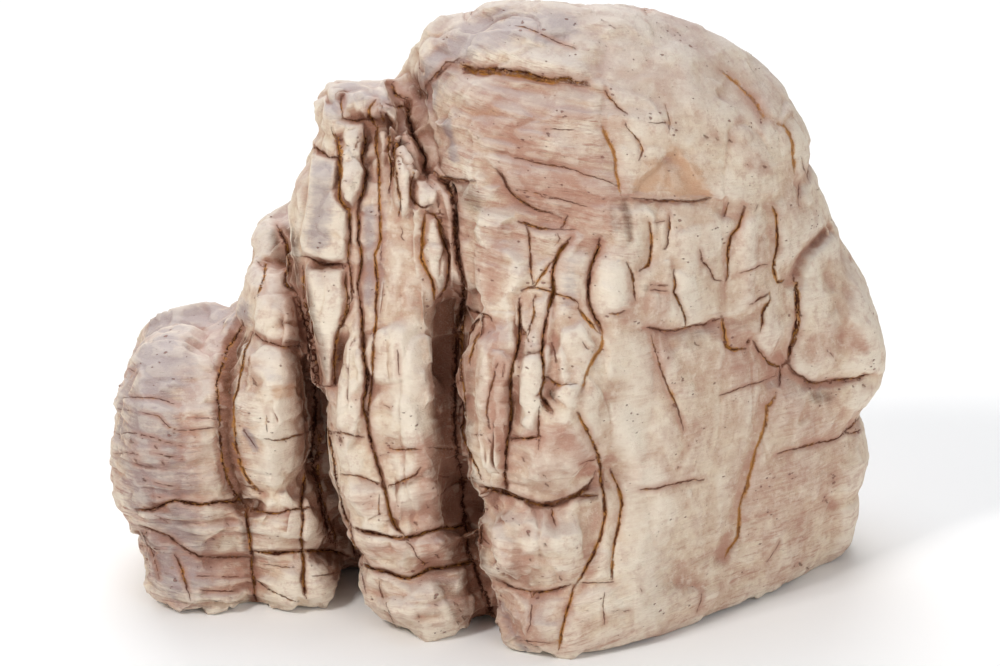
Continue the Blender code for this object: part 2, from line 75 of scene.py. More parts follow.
camera = bpy.data.objects.new("camera", bpy.data.cameras.new("camera"))
bpy.context.scene.collection.objects.link(camera)
camera.location = eye
camera.rotation_euler = Vector(forward_way).to_track_quat("-Z", "Y").to_euler()
camera.data.lens = LENS
camera.data.sensor_width = SENSOR_WIDTH
camera.data.clip_start = 0.05
bpy.context.scene.camera = camera
print("eye in mm:", [round(value / MM) for value in eye])


def on_picture(points):
    """Return each point's pixel, and how many metres one pixel spans there."""
    way = points - eye
    away = way @ forward_way
    across = PICTURE[0] / 2 + PIXELS_PER_TURN * (way @ right_way) / away
    down = PICTURE[1] / 2 - PIXELS_PER_TURN * (way @ up_way) / away
    return np.column_stack((across, down)), away / PIXELS_PER_TURN


# %% [markdown]
# An even skin
#
# The solid has few, large triangles. A voxel remesh wraps it in an even net of small
# squares, and a few rounds of smoothing take away the corners of the triangles. A
# subdivision surface would keep the uneven net of the solid, and carve unevenly.

# %% The even skin
SKIN_VOXEL = 0.58 * MM
SKIN_ROUNDS = 14

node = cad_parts["sandstone"]
stone = bpy.data.objects.new("sandstone_skin", node.data.copy())
bpy.context.scene.collection.objects.link(stone)
stone.matrix_world = node.matrix_world.copy()


def bake_modifiers(thing):
    """Make what the modifiers give the object's own mesh."""
    depsgraph = bpy.context.evaluated_depsgraph_get()
    made = bpy.data.meshes.new_from_object(thing.evaluated_get(depsgraph))
    thing.modifiers.clear()
    thing.data = made


def vectors(mesh, what):
    """Return the places ("co") or outward ways ("normal") of the mesh's points."""
    flat = np.empty(len(mesh.vertices) * 3)
    mesh.vertices.foreach_get(what, flat)
    return flat.reshape(-1, 3)


def move_points(mesh, points):
    """Put the mesh's points at new places."""
    mesh.vertices.foreach_set("co", points.ravel())
    mesh.update()


def smooth(mesh, values, rounds, share=0.5):
    """Return the values after each moves towards its neighbours' mean, round by round."""
    edges = np.empty(len(mesh.edges) * 2, dtype=np.int64)
    mesh.edges.foreach_get("vertices", edges)
    first, second = edges.reshape(-1, 2).T
    size = len(mesh.vertices)
    count = np.bincount(edges, minlength=size)
    values = values.copy()
    for _ in range(rounds):
        for column in values.T:
            total = np.bincount(first, column[second], size)
            total += np.bincount(second, column[first], size)
            column += share * (total / count - column)
    return values


remesh = stone.modifiers.new("net", "REMESH")
remesh.mode = "VOXEL"
remesh.voxel_size = SKIN_VOXEL
bake_modifiers(stone)
move_points(stone.data, smooth(stone.data, vectors(stone.data, "co"), SKIN_ROUNDS))
print("even skin:", len(stone.data.vertices), "points")

# %% [markdown]
# Soft random numbers
#
# Nothing on weathered stone is quite regular, so nearly every rule below is disturbed by a
# soft random number. Blender has noises of its own, and its finish uses them later. For the
# shape, a small lattice of seeded numbers works on all points at once, and it gives the same
# stone every time.

# %% Soft random numbers
LATTICE = 32


def soft_noise(points, size, seed):
    """Return one soft random number from -1 to 1 for each point, for lumps of the size."""
    table = np.random.default_rng(seed).uniform(-1.0, 1.0, (LATTICE, LATTICE, LATTICE))
    cell = np.ascontiguousarray((points / size).T)
    low = np.floor(cell).astype(int)
    share = cell - low
    share = share * share * (3.0 - 2.0 * share)
    index = (low % LATTICE, (low + 1) % LATTICE)
    weight = (1.0 - share, share)
    total = np.zeros(len(points))
    for i, j, k in itertools.product((0, 1), repeat=3):
        corner = table[index[i][0], index[j][1], index[k][2]]
        total += weight[i][0] * weight[j][1] * weight[k][2] * corner
    return total


def ragged(points, size, strength, seed):
    """Return a soft random push for each point, in three independent directions."""
    pushes = [soft_noise(points, size, 10 * seed + axis) for axis in range(3)]
    return np.column_stack(pushes) * strength


def ramp(values, low, high):
    """Return 0 at low, 1 at high, and a soft slope between."""
    share = np.clip((values - low) / (high - low), 0.0, 1.0)
    return share * share * (3.0 - 2.0 * share)


def unit_length(ways):
    """Return the ways, each made one long."""
    return ways / np.linalg.norm(ways, axis=1)[:, None]


# %% [markdown]
# Beds
#
# Sandstone is laid down in beds. They are nearly level here, dip a little to the right on the
# dome and rise to the right low down. Each bed stands out or back by a soft random amount
# that jumps at its edges. Loop cuts would mark the beds too, but in straight rings, where
# real beds wave and die out.

# %% Beds
DOME_DIP = 0.17
FOOT_RISE = -0.10
BED_WAVE = 4.0 * MM
BED_WAVE_SIZE = 60.0 * MM


def bed_height(points):
    """Return how high in the pile of beds each point lies."""
    # The limits of the dome and of the low right part are places in metres
    x, _, z = points.T
    on_dome = ramp(z, 0.090, 0.125) * ramp(x, -0.050, -0.020)
    low_right = ramp(-z, -0.075, -0.035) * ramp(x, 0.000, 0.040)
    dip = DOME_DIP * on_dome + FOOT_RISE * low_right
    return z + dip * x + BED_WAVE * soft_noise(points, BED_WAVE_SIZE, 3)


def bed_steps(points, height, thickness, along, edge, seed):
    """Return how far each bed stands out, about -1 to 1, with an edge between beds."""
    level = height / thickness
    index = np.floor(level)
    share = ramp(level - index, 1.0 - edge, 1.0)
    flat = points[:, :2] / along
    lower = soft_noise(np.column_stack((flat, index)), 1.0, seed)
    upper = soft_noise(np.column_stack((flat, index + 1)), 1.0, seed)
    return lower * (1.0 - share) + upper * share


# %% [markdown]
# Chips
#
# The stone breaks and wears in flat chips. The skin around each of many scattered middles is
# pressed towards a plane of its own, which leaves facets with soft borders. A noise
# displacement alone would make soft dunes, where this stone has edges.

# %% Chips
CHIP_STRETCH = np.array((0.75, 0.75, 1.2))
WOBBLE_SIZE = 0.6
WOBBLE_STRENGTH = 0.28
SAME_FACE = 0.6


def nearest_middle(places, seed):
    """Return which of many scattered middles, one in each cube of side 1, is the nearest."""
    scatter = np.random.default_rng(seed).uniform(0.0, 1.0, (LATTICE, LATTICE, LATTICE, 3))
    base = np.floor(places).astype(int)
    nearest = np.full(len(places), np.inf)
    owner = np.zeros(len(places), dtype=np.int64)
    for shift in itertools.product((-1, 0, 1), repeat=3):
        cube = base + shift
        index = cube % LATTICE
        middle = cube + scatter[index[:, 0], index[:, 1], index[:, 2]]
        far = ((middle - places) ** 2).sum(axis=1)
        closer = far < nearest
        nearest[closer] = far[closer]
        x, y, z = cube[closer].T
        owner[closer] = (x << 20) + (y << 10) + z
    return np.unique(owner, return_inverse=True)[1]


def chips(points, outward, spacing, press, limit, tilt, seed):
    """Press the skin around scattered middles towards planes of their own."""
    wobble = ragged(points, spacing * WOBBLE_SIZE, spacing * WOBBLE_STRENGTH, seed)
    owner = nearest_middle((points + wobble) * CHIP_STRETCH / spacing, seed)
    count = owner.max() + 1

    def means(values, weight):
        total = np.maximum(np.bincount(owner, weight, count), 1e-9)
        return np.column_stack([np.bincount(owner, column * weight, count) / total
                                for column in values.T])

    draw = np.random.default_rng(seed)
    way = unit_length(unit_length(means(outward, np.ones(len(points))))
                      + draw.normal(0.0, tilt, (count, 3)))
    belongs = ((outward * way[owner]).sum(axis=1) > SAME_FACE).astype(float)
    centre = means(points, belongs)
    height = ((points - centre[owner]) * way[owner]).sum(axis=1)
    pressed = np.clip(height, -limit, limit) * press * belongs
    return points - way[owner] * pressed[:, None]


# %% [markdown]
# Creases, and where beds show
#
# Narrow creases wander between the rounded parts of the stone. They lie where a noise passes
# through nothing, which makes an endless net of lines from one rule. Drawn one by one they
# would look no better, because none of them can be recognised. The beds show clearly only on
# the left block, on the front of the dome and low down, so a second rule says where.

# %% Creases, and where beds show
def folds(points, size, width, seed):
    """Return 1 along a net of wandering lines and 0 between them."""
    level = soft_noise(points, size, seed) + 0.3 * soft_noise(points, size / 2.7, seed + 1)
    return ramp(-np.abs(level), -width, 0.0)


def bedding(points, outward):
    """Return how clearly the beds show at each point, from 0 to 1."""
    # The limits of the left block, the dome's front and the foot are places in metres
    x, _, z = points.T
    left_block = ramp(-x, 0.070, 0.078) * ramp(-z, -0.088, -0.080)
    dome_front = ramp(z, 0.112, 0.124) * ramp(-x, -0.042, -0.030) * ramp(x, -0.026, -0.014)
    low_front = ramp(-z, -0.045, -0.015)
    shown = np.clip(0.15 + 0.7 * left_block + 0.75 * dome_front + 0.45 * low_front, 0.0, 1.0)
    return shown * (1.0 - outward[:, 2] ** 2)


# %% [markdown]
# The broken skin
#
# Large chips are broken first and small ones after them, as on the real stone, whose big
# faces carry the small ones. The face at the lower right is plainer and keeps more of the
# even skin. A sculpting brush would give the same facets, one stroke at a time.

# %% The broken skin
CALM_CHIPS = 0.6

points = vectors(stone.data, "co")
outward = unit_length(smooth(stone.data, vectors(stone.data, "normal"), rounds=6))
even = points
points = chips(points, outward, spacing=18.0 * MM, press=0.80, limit=3.0 * MM, tilt=0.10, seed=1)
points = smooth(stone.data, points, rounds=3)
points = chips(points, outward, spacing=7.5 * MM, press=0.55, limit=0.9 * MM, tilt=0.10, seed=2)
points = smooth(stone.data, points, rounds=2)
right_face = ramp(even[:, 0], 0.006, 0.040) * ramp(outward[:, 0] - outward[:, 1], 0.0, 0.4)
points = even + (points - even) * (1.0 - CALM_CHIPS * right_face)[:, None]
print("deepest chip in mm:", round(np.linalg.norm(points - even, axis=1).max() / MM, 1))

# %% [markdown]
# Outline, beds and lumps
#
# In five places the real outline leaves the solid's by a few millimetres, and a soft push
# puts each of them right. Then the beds, some lumps and the creases move every point along
# its outward way. One sum of them all keeps the skin whole, where separate displacement
# modifiers would each need their own picture or texture.

# %% Outline, beds and lumps
# Each push: its middle and its radius in millimetres, seen from the front, then the push
PUSHES = [((-94, 93), 15, (0.0, -4.0)), ((-110, 87), 11, (-2.0, 1.5)),
          ((-75, 108), 9, (-4.0, 0.5)), ((-63, 140), 12, (2.5, 0.0)), ((104, 108), 9, (0.5, 2.5))]
for middle, radius, push in PUSHES:
    share = np.exp(-(((points[:, [0, 2]] / MM - middle) / radius) ** 2).sum(axis=1))
    points[:, [0, 2]] += share[:, None] * np.array(push) * MM

THICK_BED = 2.2 * MM
THIN_BED = 1.1 * MM
LUMP = 1.5 * MM
SMALL_LUMP = 0.3 * MM
CREASE = 1.0 * MM
SMALL_CREASE = 0.35 * MM
UPRIGHT_STRETCH = np.array((1.0, 1.0, 0.55))
LEVEL_STRETCH = np.array((0.6, 0.6, 1.4))
CALM_LUMPS = 0.65

height = bed_height(points)
bedded = bedding(points, outward)
patchy = ramp(soft_noise(points, 24.0 * MM, seed=5), -0.35, 0.25)
stand = THICK_BED * bed_steps(points, height, 6.5 * MM, 24.0 * MM, edge=0.25, seed=21) * patchy
stand += THIN_BED * bed_steps(points, height, 2.6 * MM, 13.0 * MM, edge=0.40, seed=22)
lumps = LUMP * soft_noise(points, 19.0 * MM, seed=7)
lumps += SMALL_LUMP * soft_noise(points, 6.5 * MM, seed=8)
creases = CREASE * folds(points * UPRIGHT_STRETCH, 19.0 * MM, width=0.13, seed=31)
creases *= 1.0 - 0.7 * bedded
creases += SMALL_CREASE * folds(points * LEVEL_STRETCH, 12.0 * MM, width=0.12, seed=35)
calm = 1.0 - CALM_LUMPS * right_face
points += outward * ((stand * bedded + lumps - creases) * calm)[:, None]
move_points(stone.data, points)
print("beds: from", round(height.min() / MM), "to", round(height.max() / MM), "mm")

# %% [markdown]
# Cracks as lines on the picture
#
# Every crack, seam and ledge of the front is a line of a few pixels, read one by one. A table
# of kinds says what such a line does to real stone, in millimetres. A painted crack would
# be flat from the side, so each line is carved, and the same line later guides the rust.

# %% Kinds of line
# Each kind: half width, depth and step in millimetres, then how dark and how rusty it is.
# A step sets back the side on the right hand of someone who walks the line, and a depth
# below nothing raises the stone.
KINDS = {
    # The shadow kind paints the shade inside a cleft that the solid already has
    "shadow": (1.0, 0.8, 0.0, 1.0, 0.3),
    "chasm": (0.9, 3.6, 0.0, 1.0, 0.5),
    "cleft": (0.55, 1.8, 0.0, 1.0, 0.7),
    "crack": (0.44, 1.1, 0.0, 0.9, 0.7),
    "rusty": (0.46, 1.0, 0.0, 0.9, 1.0),
    "orange": (0.6, 0.7, 0.0, 0.3, 1.0),
    "seam": (0.38, 0.7, 0.4, 0.8, 0.55),
    "hair": (0.29, 0.35, 0.0, 0.65, 0.4),
    "ledge": (0.42, 0.8, 1.6, 0.7, 0.5),
    "fold": (2.4, 0.9, 0.0, 0.0, 0.0),
    "dip": (4.0, 1.2, 0.0, 0.0, 0.0),
    "pit": (0.6, 0.6, 0.0, 0.9, 0.3),
    "swell": (4.2, -1.5, 0.0, 0.0, 0.0),
    "rib": (2.6, -1.1, 0.0, 0.0, 0.0),
    "gully": (2.6, 4.5, 0.0, 0.0, 0.0),
}

# %% Lines of the left block and its neighbours
LEFT_LINES = [
    ("cleft", [(135, 508), (150, 508), (160, 504), (175, 500), (200, 505), (215, 504), (230, 503),
               (246, 500)]),
    ("ledge", [(139, 524), (150, 528), (160, 532), (170, 536), (178, 544), (188, 551), (198, 556),
               (225, 557), (248, 557)]),
    ("hair", [(148, 510), (155, 516), (168, 522)]),
    ("hair", [(120, 397), (160, 398), (178, 404)]),
    ("hair", [(127, 368), (139, 374)]),
    ("hair", [(118, 408), (132, 411)]),
    ("hair", [(143, 411), (160, 416), (170, 428), (180, 431)]),
    ("hair", [(118, 433), (135, 434), (150, 437), (165, 443), (182, 447)]),
    ("hair", [(115, 453), (138, 454)]),
    ("hair", [(150, 453), (170, 457), (182, 460)]),
    ("hair", [(152, 481), (165, 485), (178, 487)]),
    ("hair", [(152, 495), (165, 497)]),
    ("hair", [(182, 431), (218, 428)]),
    ("hair", [(195, 418), (215, 420)]),
    ("fold", [(178, 404), (182, 431), (180, 470), (178, 500)]),
    ("hair", [(141, 528), (146, 540), (152, 553), (156, 565), (160, 578)]),
    ("crack", [(175, 555), (180, 568), (184, 580), (190, 600)]),
    ("hair", [(140, 545), (165, 549)]),
    ("hair", [(196, 575), (240, 577)]),
    ("hair", [(200, 590), (238, 592)]),
    ("cleft", [(243, 322), (235, 338), (228, 350), (222, 365), (216, 385), (217, 400), (219, 420),
               (222, 440), (224, 460), (228, 480), (236, 495), (246, 506)]),
    ("rusty", [(252, 335), (246, 350), (243, 365), (240, 380), (238, 390), (234, 400), (234, 415),
               (236, 430), (236, 445), (240, 465), (245, 478), (250, 485), (258, 490)]),
    ("cleft", [(246, 506), (248, 530), (250, 551), (253, 580), (256, 604)]),
    ("seam", [(254, 332), (262, 340), (275, 343), (283, 346), (300, 346)]),
    ("hair", [(267, 410), (268, 435)]),
    ("seam", [(264, 439), (275, 441), (285, 440), (293, 437), (306, 433)]),
    ("hair", [(243, 428), (250, 440), (256, 450)]),
    ("seam", [(243, 486), (255, 490), (262, 492)]),
    ("crack", [(250, 508), (260, 510), (274, 513), (283, 512), (295, 509), (312, 508)]),
    ("cleft", [(250, 551), (265, 553), (280, 553), (295, 552), (305, 551), (320, 551), (333, 551),
               (350, 557)]),
    ("seam", [(254, 580), (262, 585), (270, 590), (283, 595), (292, 600), (300, 601)]),
    ("cleft", [(306, 470), (303, 490), (301, 505), (303, 520), (301, 535), (303, 550), (304, 565),
               (303, 580), (305, 592), (307, 597)]),
    ("hair", [(262, 565), (296, 567)]),
    ("hair", [(312, 575), (338, 572)]),
    ("shadow", [(297, 295), (301, 310), (307, 330), (311, 350), (314, 370), (315, 390), (315, 410),
               (313, 430), (312, 450), (316, 478), (322, 510), (330, 540)]),
    ("crack", [(320, 430), (319, 460), (320, 485), (326, 510), (334, 535), (336, 550)]),
    ("cleft", [(327, 420), (330, 450), (336, 480), (342, 505), (350, 530)]),
    ("cleft", [(276, 226), (284, 240), (290, 262), (286, 282), (296, 292)]),
    ("rusty", [(266, 262), (264, 280), (258, 296)]),
    ("gully", [(236, 338), (227, 365), (225, 400), (227, 440), (233, 480), (242, 500)]),
    ("gully", [(306, 325), (312, 370), (314, 420), (315, 475)]),
    ("gully", [(834, 226), (822, 238), (810, 250), (800, 266), (796, 282)]),
    ("hair", [(256, 262), (262, 268), (268, 270)]),
]
print("lines of the left block and its neighbours:", len(LEFT_LINES))

# %% Lines of the upright plates
PLATE_LINES = [
    ("rusty", [(342, 98), (344, 118)]),
    ("seam", [(345, 118), (358, 120), (372, 118)]),
    ("rusty", [(333, 128), (337, 140), (340, 150), (340, 200), (346, 206), (352, 208)]),
    ("cleft", [(366, 128), (366, 145), (362, 155), (363, 165), (367, 172), (366, 180), (364, 190),
               (361, 198), (359, 205)]),
    ("hair", [(345, 145), (352, 146)]),
    ("hair", [(342, 155), (355, 157)]),
    ("hair", [(340, 181), (357, 183)]),
    ("crack", [(350, 207), (350, 220), (351, 232), (349, 245), (349, 258), (352, 270), (353, 285),
               (352, 300), (348, 312), (343, 322), (337, 335)]),
    ("ledge", [(308, 148), (315, 148), (322, 153), (330, 158), (338, 157)]),
    ("ledge", [(302, 256), (310, 257), (316, 260), (322, 264), (332, 264), (342, 263)]),
    ("fold", [(310, 232), (320, 235), (325, 240)]),
    ("crack", [(303, 265), (305, 300), (311, 320), (315, 335), (318, 350), (320, 370), (321, 385)]),
    ("crack", [(344, 265), (347, 285), (348, 300), (345, 315), (340, 325), (337, 340), (334, 365),
               (334, 385)]),
    ("seam", [(321, 386), (335, 386)]),
    ("cleft", [(359, 205), (359, 215), (360, 228), (358, 240), (362, 250), (363, 262), (361, 275),
               (359, 288), (360, 310), (362, 340)]),
    ("rusty", [(379, 125), (377, 135), (376, 148), (378, 160), (380, 180), (381, 200), (381, 230),
               (382, 240), (378, 247), (375, 255), (377, 268), (378, 280), (377, 292), (375, 305),
               (376, 318), (374, 340)]),
    ("hair", [(383, 240), (382, 260)]),
    ("crack", [(391, 130), (389, 140), (388, 152), (390, 160), (392, 172), (391, 185), (390, 195)]),
    ("rusty", [(376, 100), (370, 110), (373, 120), (378, 127)]),
    ("rusty", [(382, 113), (385, 120)]),
    ("crack", [(388, 104), (398, 106), (408, 104)]),
    ("cleft", [(392, 84), (396, 94), (404, 97)]),
    ("crack", [(395, 140), (394, 155), (396, 175), (398, 190), (400, 205), (398, 220)]),
    ("chasm", [(408, 100), (408, 115), (412, 128), (410, 133), (415, 140), (420, 150), (425, 158),
               (424, 168), (427, 175)]),
    ("crack", [(413, 165), (414, 175), (411, 185), (410, 195), (414, 203), (422, 208), (432, 205)]),
    ("hair", [(427, 180), (432, 188)]),
    ("rusty", [(423, 215), (423, 230), (422, 245), (421, 258), (425, 268), (430, 278), (433, 290),
               (435, 300)]),
    ("crack", [(425, 212), (433, 215), (438, 222), (441, 235), (445, 245), (450, 255), (448, 272),
               (446, 282), (440, 297)]),
    ("hair", [(437, 200), (438, 212), (441, 225), (446, 238), (452, 248)]),
    ("chasm", [(440, 178), (448, 185), (452, 195), (453, 210), (455, 230), (457, 250), (460, 270),
               (463, 290), (461, 310), (455, 330)]),
    ("hair", [(400, 225), (404, 231), (402, 237), (407, 240)]),
    ("shadow", [(455, 330), (455, 360), (456, 400), (456, 430), (459, 460), (463, 490), (465, 520),
               (470, 550), (480, 580), (490, 610), (497, 634)]),
    ("crack", [(466, 300), (463, 320), (460, 340), (462, 360), (463, 380), (466, 400), (466, 420),
               (464, 430), (467, 445), (473, 460), (478, 470), (480, 480)]),
    ("cleft", [(362, 340), (364, 350), (366, 362), (367, 375), (366, 388), (364, 400), (364, 410),
               (367, 420), (369, 432), (371, 442), (374, 452), (377, 462), (380, 472), (383, 483),
               (385, 492), (387, 505), (390, 517), (395, 528), (403, 534)]),
    ("crack", [(373, 340), (373, 360), (372, 380), (371, 395), (369, 410), (368, 420)]),
    ("seam", [(332, 432), (342, 433), (355, 437), (365, 437)]),
    ("seam", [(340, 474), (360, 476), (368, 480), (378, 484), (385, 486), (395, 484), (405, 480),
              (415, 475), (420, 468)]),
    ("cleft", [(352, 527), (362, 531), (375, 533), (388, 535), (400, 537), (410, 536), (420, 534),
               (430, 530), (440, 528), (455, 527), (468, 523)]),
    ("cleft", [(360, 563), (370, 569), (380, 571), (392, 574), (402, 578), (410, 579), (420, 575),
               (430, 569), (440, 568), (455, 566), (468, 563), (478, 561)]),
    ("seam", [(390, 448), (400, 450), (422, 450)]),
    ("seam", [(430, 448), (445, 449), (460, 449)]),
    ("seam", [(438, 495), (447, 488), (455, 483), (465, 480), (475, 478)]),
    ("hair", [(440, 475), (450, 477)]),
    ("hair", [(378, 578), (380, 590), (384, 603), (389, 615), (396, 628)]),
    ("hair", [(360, 563), (362, 580), (367, 595)]),
    ("hair", [(378, 495), (378, 520)]),
    ("hair", [(382, 404), (392, 408)]),
    ("hair", [(397, 345), (398, 375)]),
    ("hair", [(405, 540), (412, 545), (420, 560), (430, 569)]),
    ("fold", [(440, 578), (447, 590), (455, 605)]),
    ("dip", [(420, 340), (426, 360), (428, 380), (426, 400), (422, 420), (420, 440)]),
    ("crack", [(349, 520), (352, 540), (357, 560)]),
    ("hair", [(350, 530), (355, 545), (360, 555), (370, 565)]),
]
print("lines of the upright plates:", len(PLATE_LINES))

# %% Lines of the dome
DOME_LINES = [
    ("fold", [(494, 12), (487, 22), (478, 28), (468, 34), (462, 42), (458, 48), (450, 55),
              (440, 54), (432, 53)]),
    ("ledge", [(425, 84), (430, 80), (434, 76), (440, 70), (445, 62), (455, 62), (460, 58)]),
    ("fold", [(425, 88), (418, 98), (412, 105)]),
    ("orange", [(468, 70), (500, 74), (530, 78), (560, 83)]),
    ("cleft", [(461, 63), (468, 66), (478, 67), (485, 68), (495, 69), (505, 70), (515, 71),
               (525, 72), (533, 75), (543, 77), (552, 79), (562, 78), (570, 78), (578, 81),
               (588, 83)]),
    ("ledge", [(461, 64), (485, 69), (515, 73), (543, 79), (570, 81), (590, 85)]),
    ("fold", [(485, 84), (500, 87), (515, 89), (530, 91), (548, 92), (562, 94), (580, 100)]),
    ("hair", [(515, 25), (530, 29), (545, 35), (560, 42), (575, 48)]),
    ("fold", [(583, 22), (592, 29), (600, 37), (608, 42), (607, 60)]),
    ("hair", [(600, 20), (610, 25), (615, 29)]),
    ("seam", [(628, 115), (623, 112), (618, 108), (613, 102), (608, 97), (605, 90)]),
    ("orange", [(604, 127), (607, 136), (611, 145), (614, 152), (616, 162), (617, 172), (619, 182),
                (622, 195)]),
    ("seam", [(626, 122), (630, 130), (635, 135), (640, 142), (643, 150), (642, 155), (640, 160)]),
    ("fold", [(453, 100), (452, 108), (456, 116), (462, 124), (470, 130)]),
    ("ledge", [(427, 165), (433, 170), (442, 176), (455, 179), (475, 180)]),
    ("ledge", [(497, 170), (503, 178), (508, 188), (515, 196), (522, 201), (532, 206), (540, 210),
               (553, 213)]),
    ("crack", [(519, 222), (527, 224), (535, 226), (543, 229), (550, 229)]),
    ("hair", [(550, 229), (575, 229)]),
    ("hair", [(515, 158), (545, 163), (565, 168), (585, 175), (605, 180), (618, 185)]),
    ("hair", [(540, 196), (560, 199), (590, 206)]),
    ("hair", [(520, 190), (550, 195)]),
    ("hair", [(545, 127), (565, 130), (580, 131)]),
    ("hair", [(544, 128), (552, 140)]),
    ("ledge", [(632, 197), (650, 199), (660, 200), (680, 200), (700, 200), (712, 199)]),
    ("fold", [(632, 192), (645, 162), (670, 158), (680, 170), (692, 190), (700, 196)]),
    ("fold", [(676, 145), (690, 155), (700, 172), (705, 180)]),
    ("hair", [(666, 105), (668, 115), (670, 123), (668, 132)]),
    ("hair", [(650, 122), (670, 123)]),
    ("fold", [(720, 72), (740, 85), (750, 95), (758, 105), (764, 118)]),
    ("orange", [(720, 72), (740, 85), (750, 95), (758, 105), (764, 118)]),
    ("orange", [(778, 125), (785, 128), (789, 138), (792, 148), (793, 160), (794, 171)]),
    ("fold", [(778, 92), (783, 98), (785, 104)]),
    ("fold", [(788, 172), (785, 182), (782, 195), (775, 200), (768, 203)]),
    ("hair", [(800, 180), (799, 195), (800, 205)]),
    ("hair", [(801, 155), (803, 165), (807, 175), (810, 180)]),
]
print("lines of the dome:", len(DOME_LINES))

# %% Lines of the pillars under the dome
PILLAR_LINES = [
    ("cleft", [(571, 238), (566, 245), (560, 252), (555, 262), (553, 275), (554, 290), (553, 295),
               (549, 305), (547, 320), (545, 335), (543, 350), (544, 365), (545, 380), (541, 392),
               (543, 398), (547, 402), (553, 410)]),
    ("crack", [(552, 262), (545, 272), (538, 281), (533, 287)]),
    ("crack", [(528, 228), (530, 245), (530, 262), (531, 275), (534, 283)]),
    ("hair", [(557, 232), (560, 240), (555, 247)]),
    ("crack", [(568, 215), (563, 227)]),
    ("seam", [(522, 290), (530, 287), (537, 287), (545, 289), (553, 291), (560, 295), (570, 298),
              (578, 302), (580, 306)]),
    ("cleft", [(600, 240), (598, 250), (593, 262), (590, 272), (588, 285), (588, 298), (589, 305),
               (592, 312), (598, 322), (603, 332)]),
    ("rusty", [(578, 308), (585, 318), (592, 326), (598, 332)]),
    ("orange", [(603, 332), (602, 342), (600, 350), (594, 358), (588, 368), (584, 378),
                (581, 392)]),
    ("hair", [(581, 340), (585, 348), (592, 352)]),
    ("cleft", [(520, 298), (520, 310), (520, 325), (519, 340), (517, 352), (514, 362), (512, 375),
               (511, 390), (511, 405), (511, 420), (509, 435), (507, 450), (506, 465), (506, 478),
               (507, 488)]),
    ("crack", [(536, 295), (533, 303), (534, 313), (531, 325), (529, 335)]),
    ("hair", [(522, 325), (528, 340), (536, 350)]),
    ("rusty", [(480, 333), (475, 345), (472, 355), (470, 365)]),
    ("dip", [(468, 385), (470, 400), (475, 420), (478, 440)]),
    ("seam", [(498, 362), (495, 378), (490, 390), (488, 405), (487, 415), (490, 430)]),
    ("hair", [(505, 365), (504, 378)]),
    ("hair", [(553, 342), (556, 355), (558, 365)]),
    ("seam", [(548, 375), (553, 383), (560, 386), (575, 385)]),
    ("ledge", [(465, 305), (472, 312), (480, 314), (490, 317), (492, 322)]),
    ("seam", [(608, 313), (618, 314), (626, 310)]),
    ("crack", [(627, 262), (633, 275), (634, 290), (636, 300)]),
    ("cleft", [(510, 438), (520, 438), (530, 438), (540, 437)]),
    ("crack", [(475, 434), (485, 435)]),
    ("seam", [(540, 405), (539, 420), (539, 437), (538, 450)]),
    ("seam", [(541, 400), (545, 405), (553, 413)]),
    ("ledge", [(480, 485), (490, 490), (503, 491), (512, 495), (525, 498), (540, 502), (555, 501),
               (567, 498), (580, 493), (590, 485), (596, 472)]),
    ("cleft", [(480, 487), (503, 493), (525, 500), (540, 504), (555, 503), (580, 495), (590, 487)]),
    ("crack", [(552, 503), (553, 515), (556, 525)]),
    ("hair", [(580, 463), (592, 460), (602, 459)]),
    ("crack", [(580, 497), (597, 496)]),
]
print("lines of the pillars:", len(PILLAR_LINES))

# %% Lines of the bay of blocks and the shoulder
BAY_LINES = [
    ("rusty", [(648, 222), (650, 232), (651, 245), (650, 258), (648, 265), (640, 270)]),
    ("crack", [(669, 215), (670, 230), (668, 245), (664, 250)]),
    ("hair", [(655, 222), (668, 220)]),
    ("hair", [(650, 286), (668, 285)]),
    ("hair", [(650, 291), (668, 291)]),
    ("crack", [(674, 270), (675, 285), (674, 293), (678, 300), (681, 310), (684, 320), (685, 327)]),
    ("ledge", [(649, 327), (660, 329), (672, 331), (684, 327), (695, 325), (705, 324), (713, 321),
               (724, 318)]),
    ("seam", [(700, 250), (702, 260), (710, 268), (715, 278), (722, 280)]),
    ("rusty", [(729, 205), (725, 215)]),
    ("rusty", [(745, 207), (742, 218), (738, 227), (731, 235), (728, 245), (727, 255), (728, 268),
               (727, 280)]),
    ("rusty", [(723, 317), (725, 328), (726, 338), (728, 346), (735, 349), (745, 348)]),
    ("hair", [(692, 330), (693, 338), (695, 345), (700, 346)]),
    ("hair", [(740, 272), (750, 271), (760, 267), (768, 265)]),
    ("rusty", [(772, 207), (776, 215), (777, 230), (777, 245), (775, 258), (774, 268), (776, 276),
               (778, 282), (788, 278)]),
    ("hair", [(758, 205), (755, 212)]),
    ("rusty", [(770, 293), (771, 300), (766, 305), (762, 312), (761, 322), (759, 330)]),
    ("seam", [(750, 305), (760, 300), (770, 293)]),
    ("cleft", [(794, 275), (795, 285), (796, 298), (796, 312), (795, 325), (793, 338), (790, 350),
               (789, 362)]),
    ("rusty", [(797, 275), (798, 298), (798, 325), (794, 345)]),
    ("crack", [(753, 340), (758, 350), (765, 358), (772, 365), (780, 367), (788, 363)]),
    ("crack", [(780, 367), (780, 378), (779, 385)]),
    ("ledge", [(788, 363), (792, 371), (797, 376), (803, 378), (808, 382), (815, 383), (830, 380),
               (845, 378), (857, 376), (865, 374), (873, 374)]),
    ("fold", [(825, 265), (828, 278), (831, 290), (834, 302), (838, 315)]),
    ("fold", [(848, 275), (850, 290), (849, 305)]),
    ("hair", [(826, 350), (835, 360)]),
    ("fold", [(855, 335), (862, 348), (868, 352)]),
    ("fold", [(845, 325), (842, 335), (835, 345)]),
    ("hair", [(720, 395), (735, 390), (748, 385), (760, 383), (775, 375)]),
]
print("lines of the bay and the shoulder:", len(BAY_LINES))

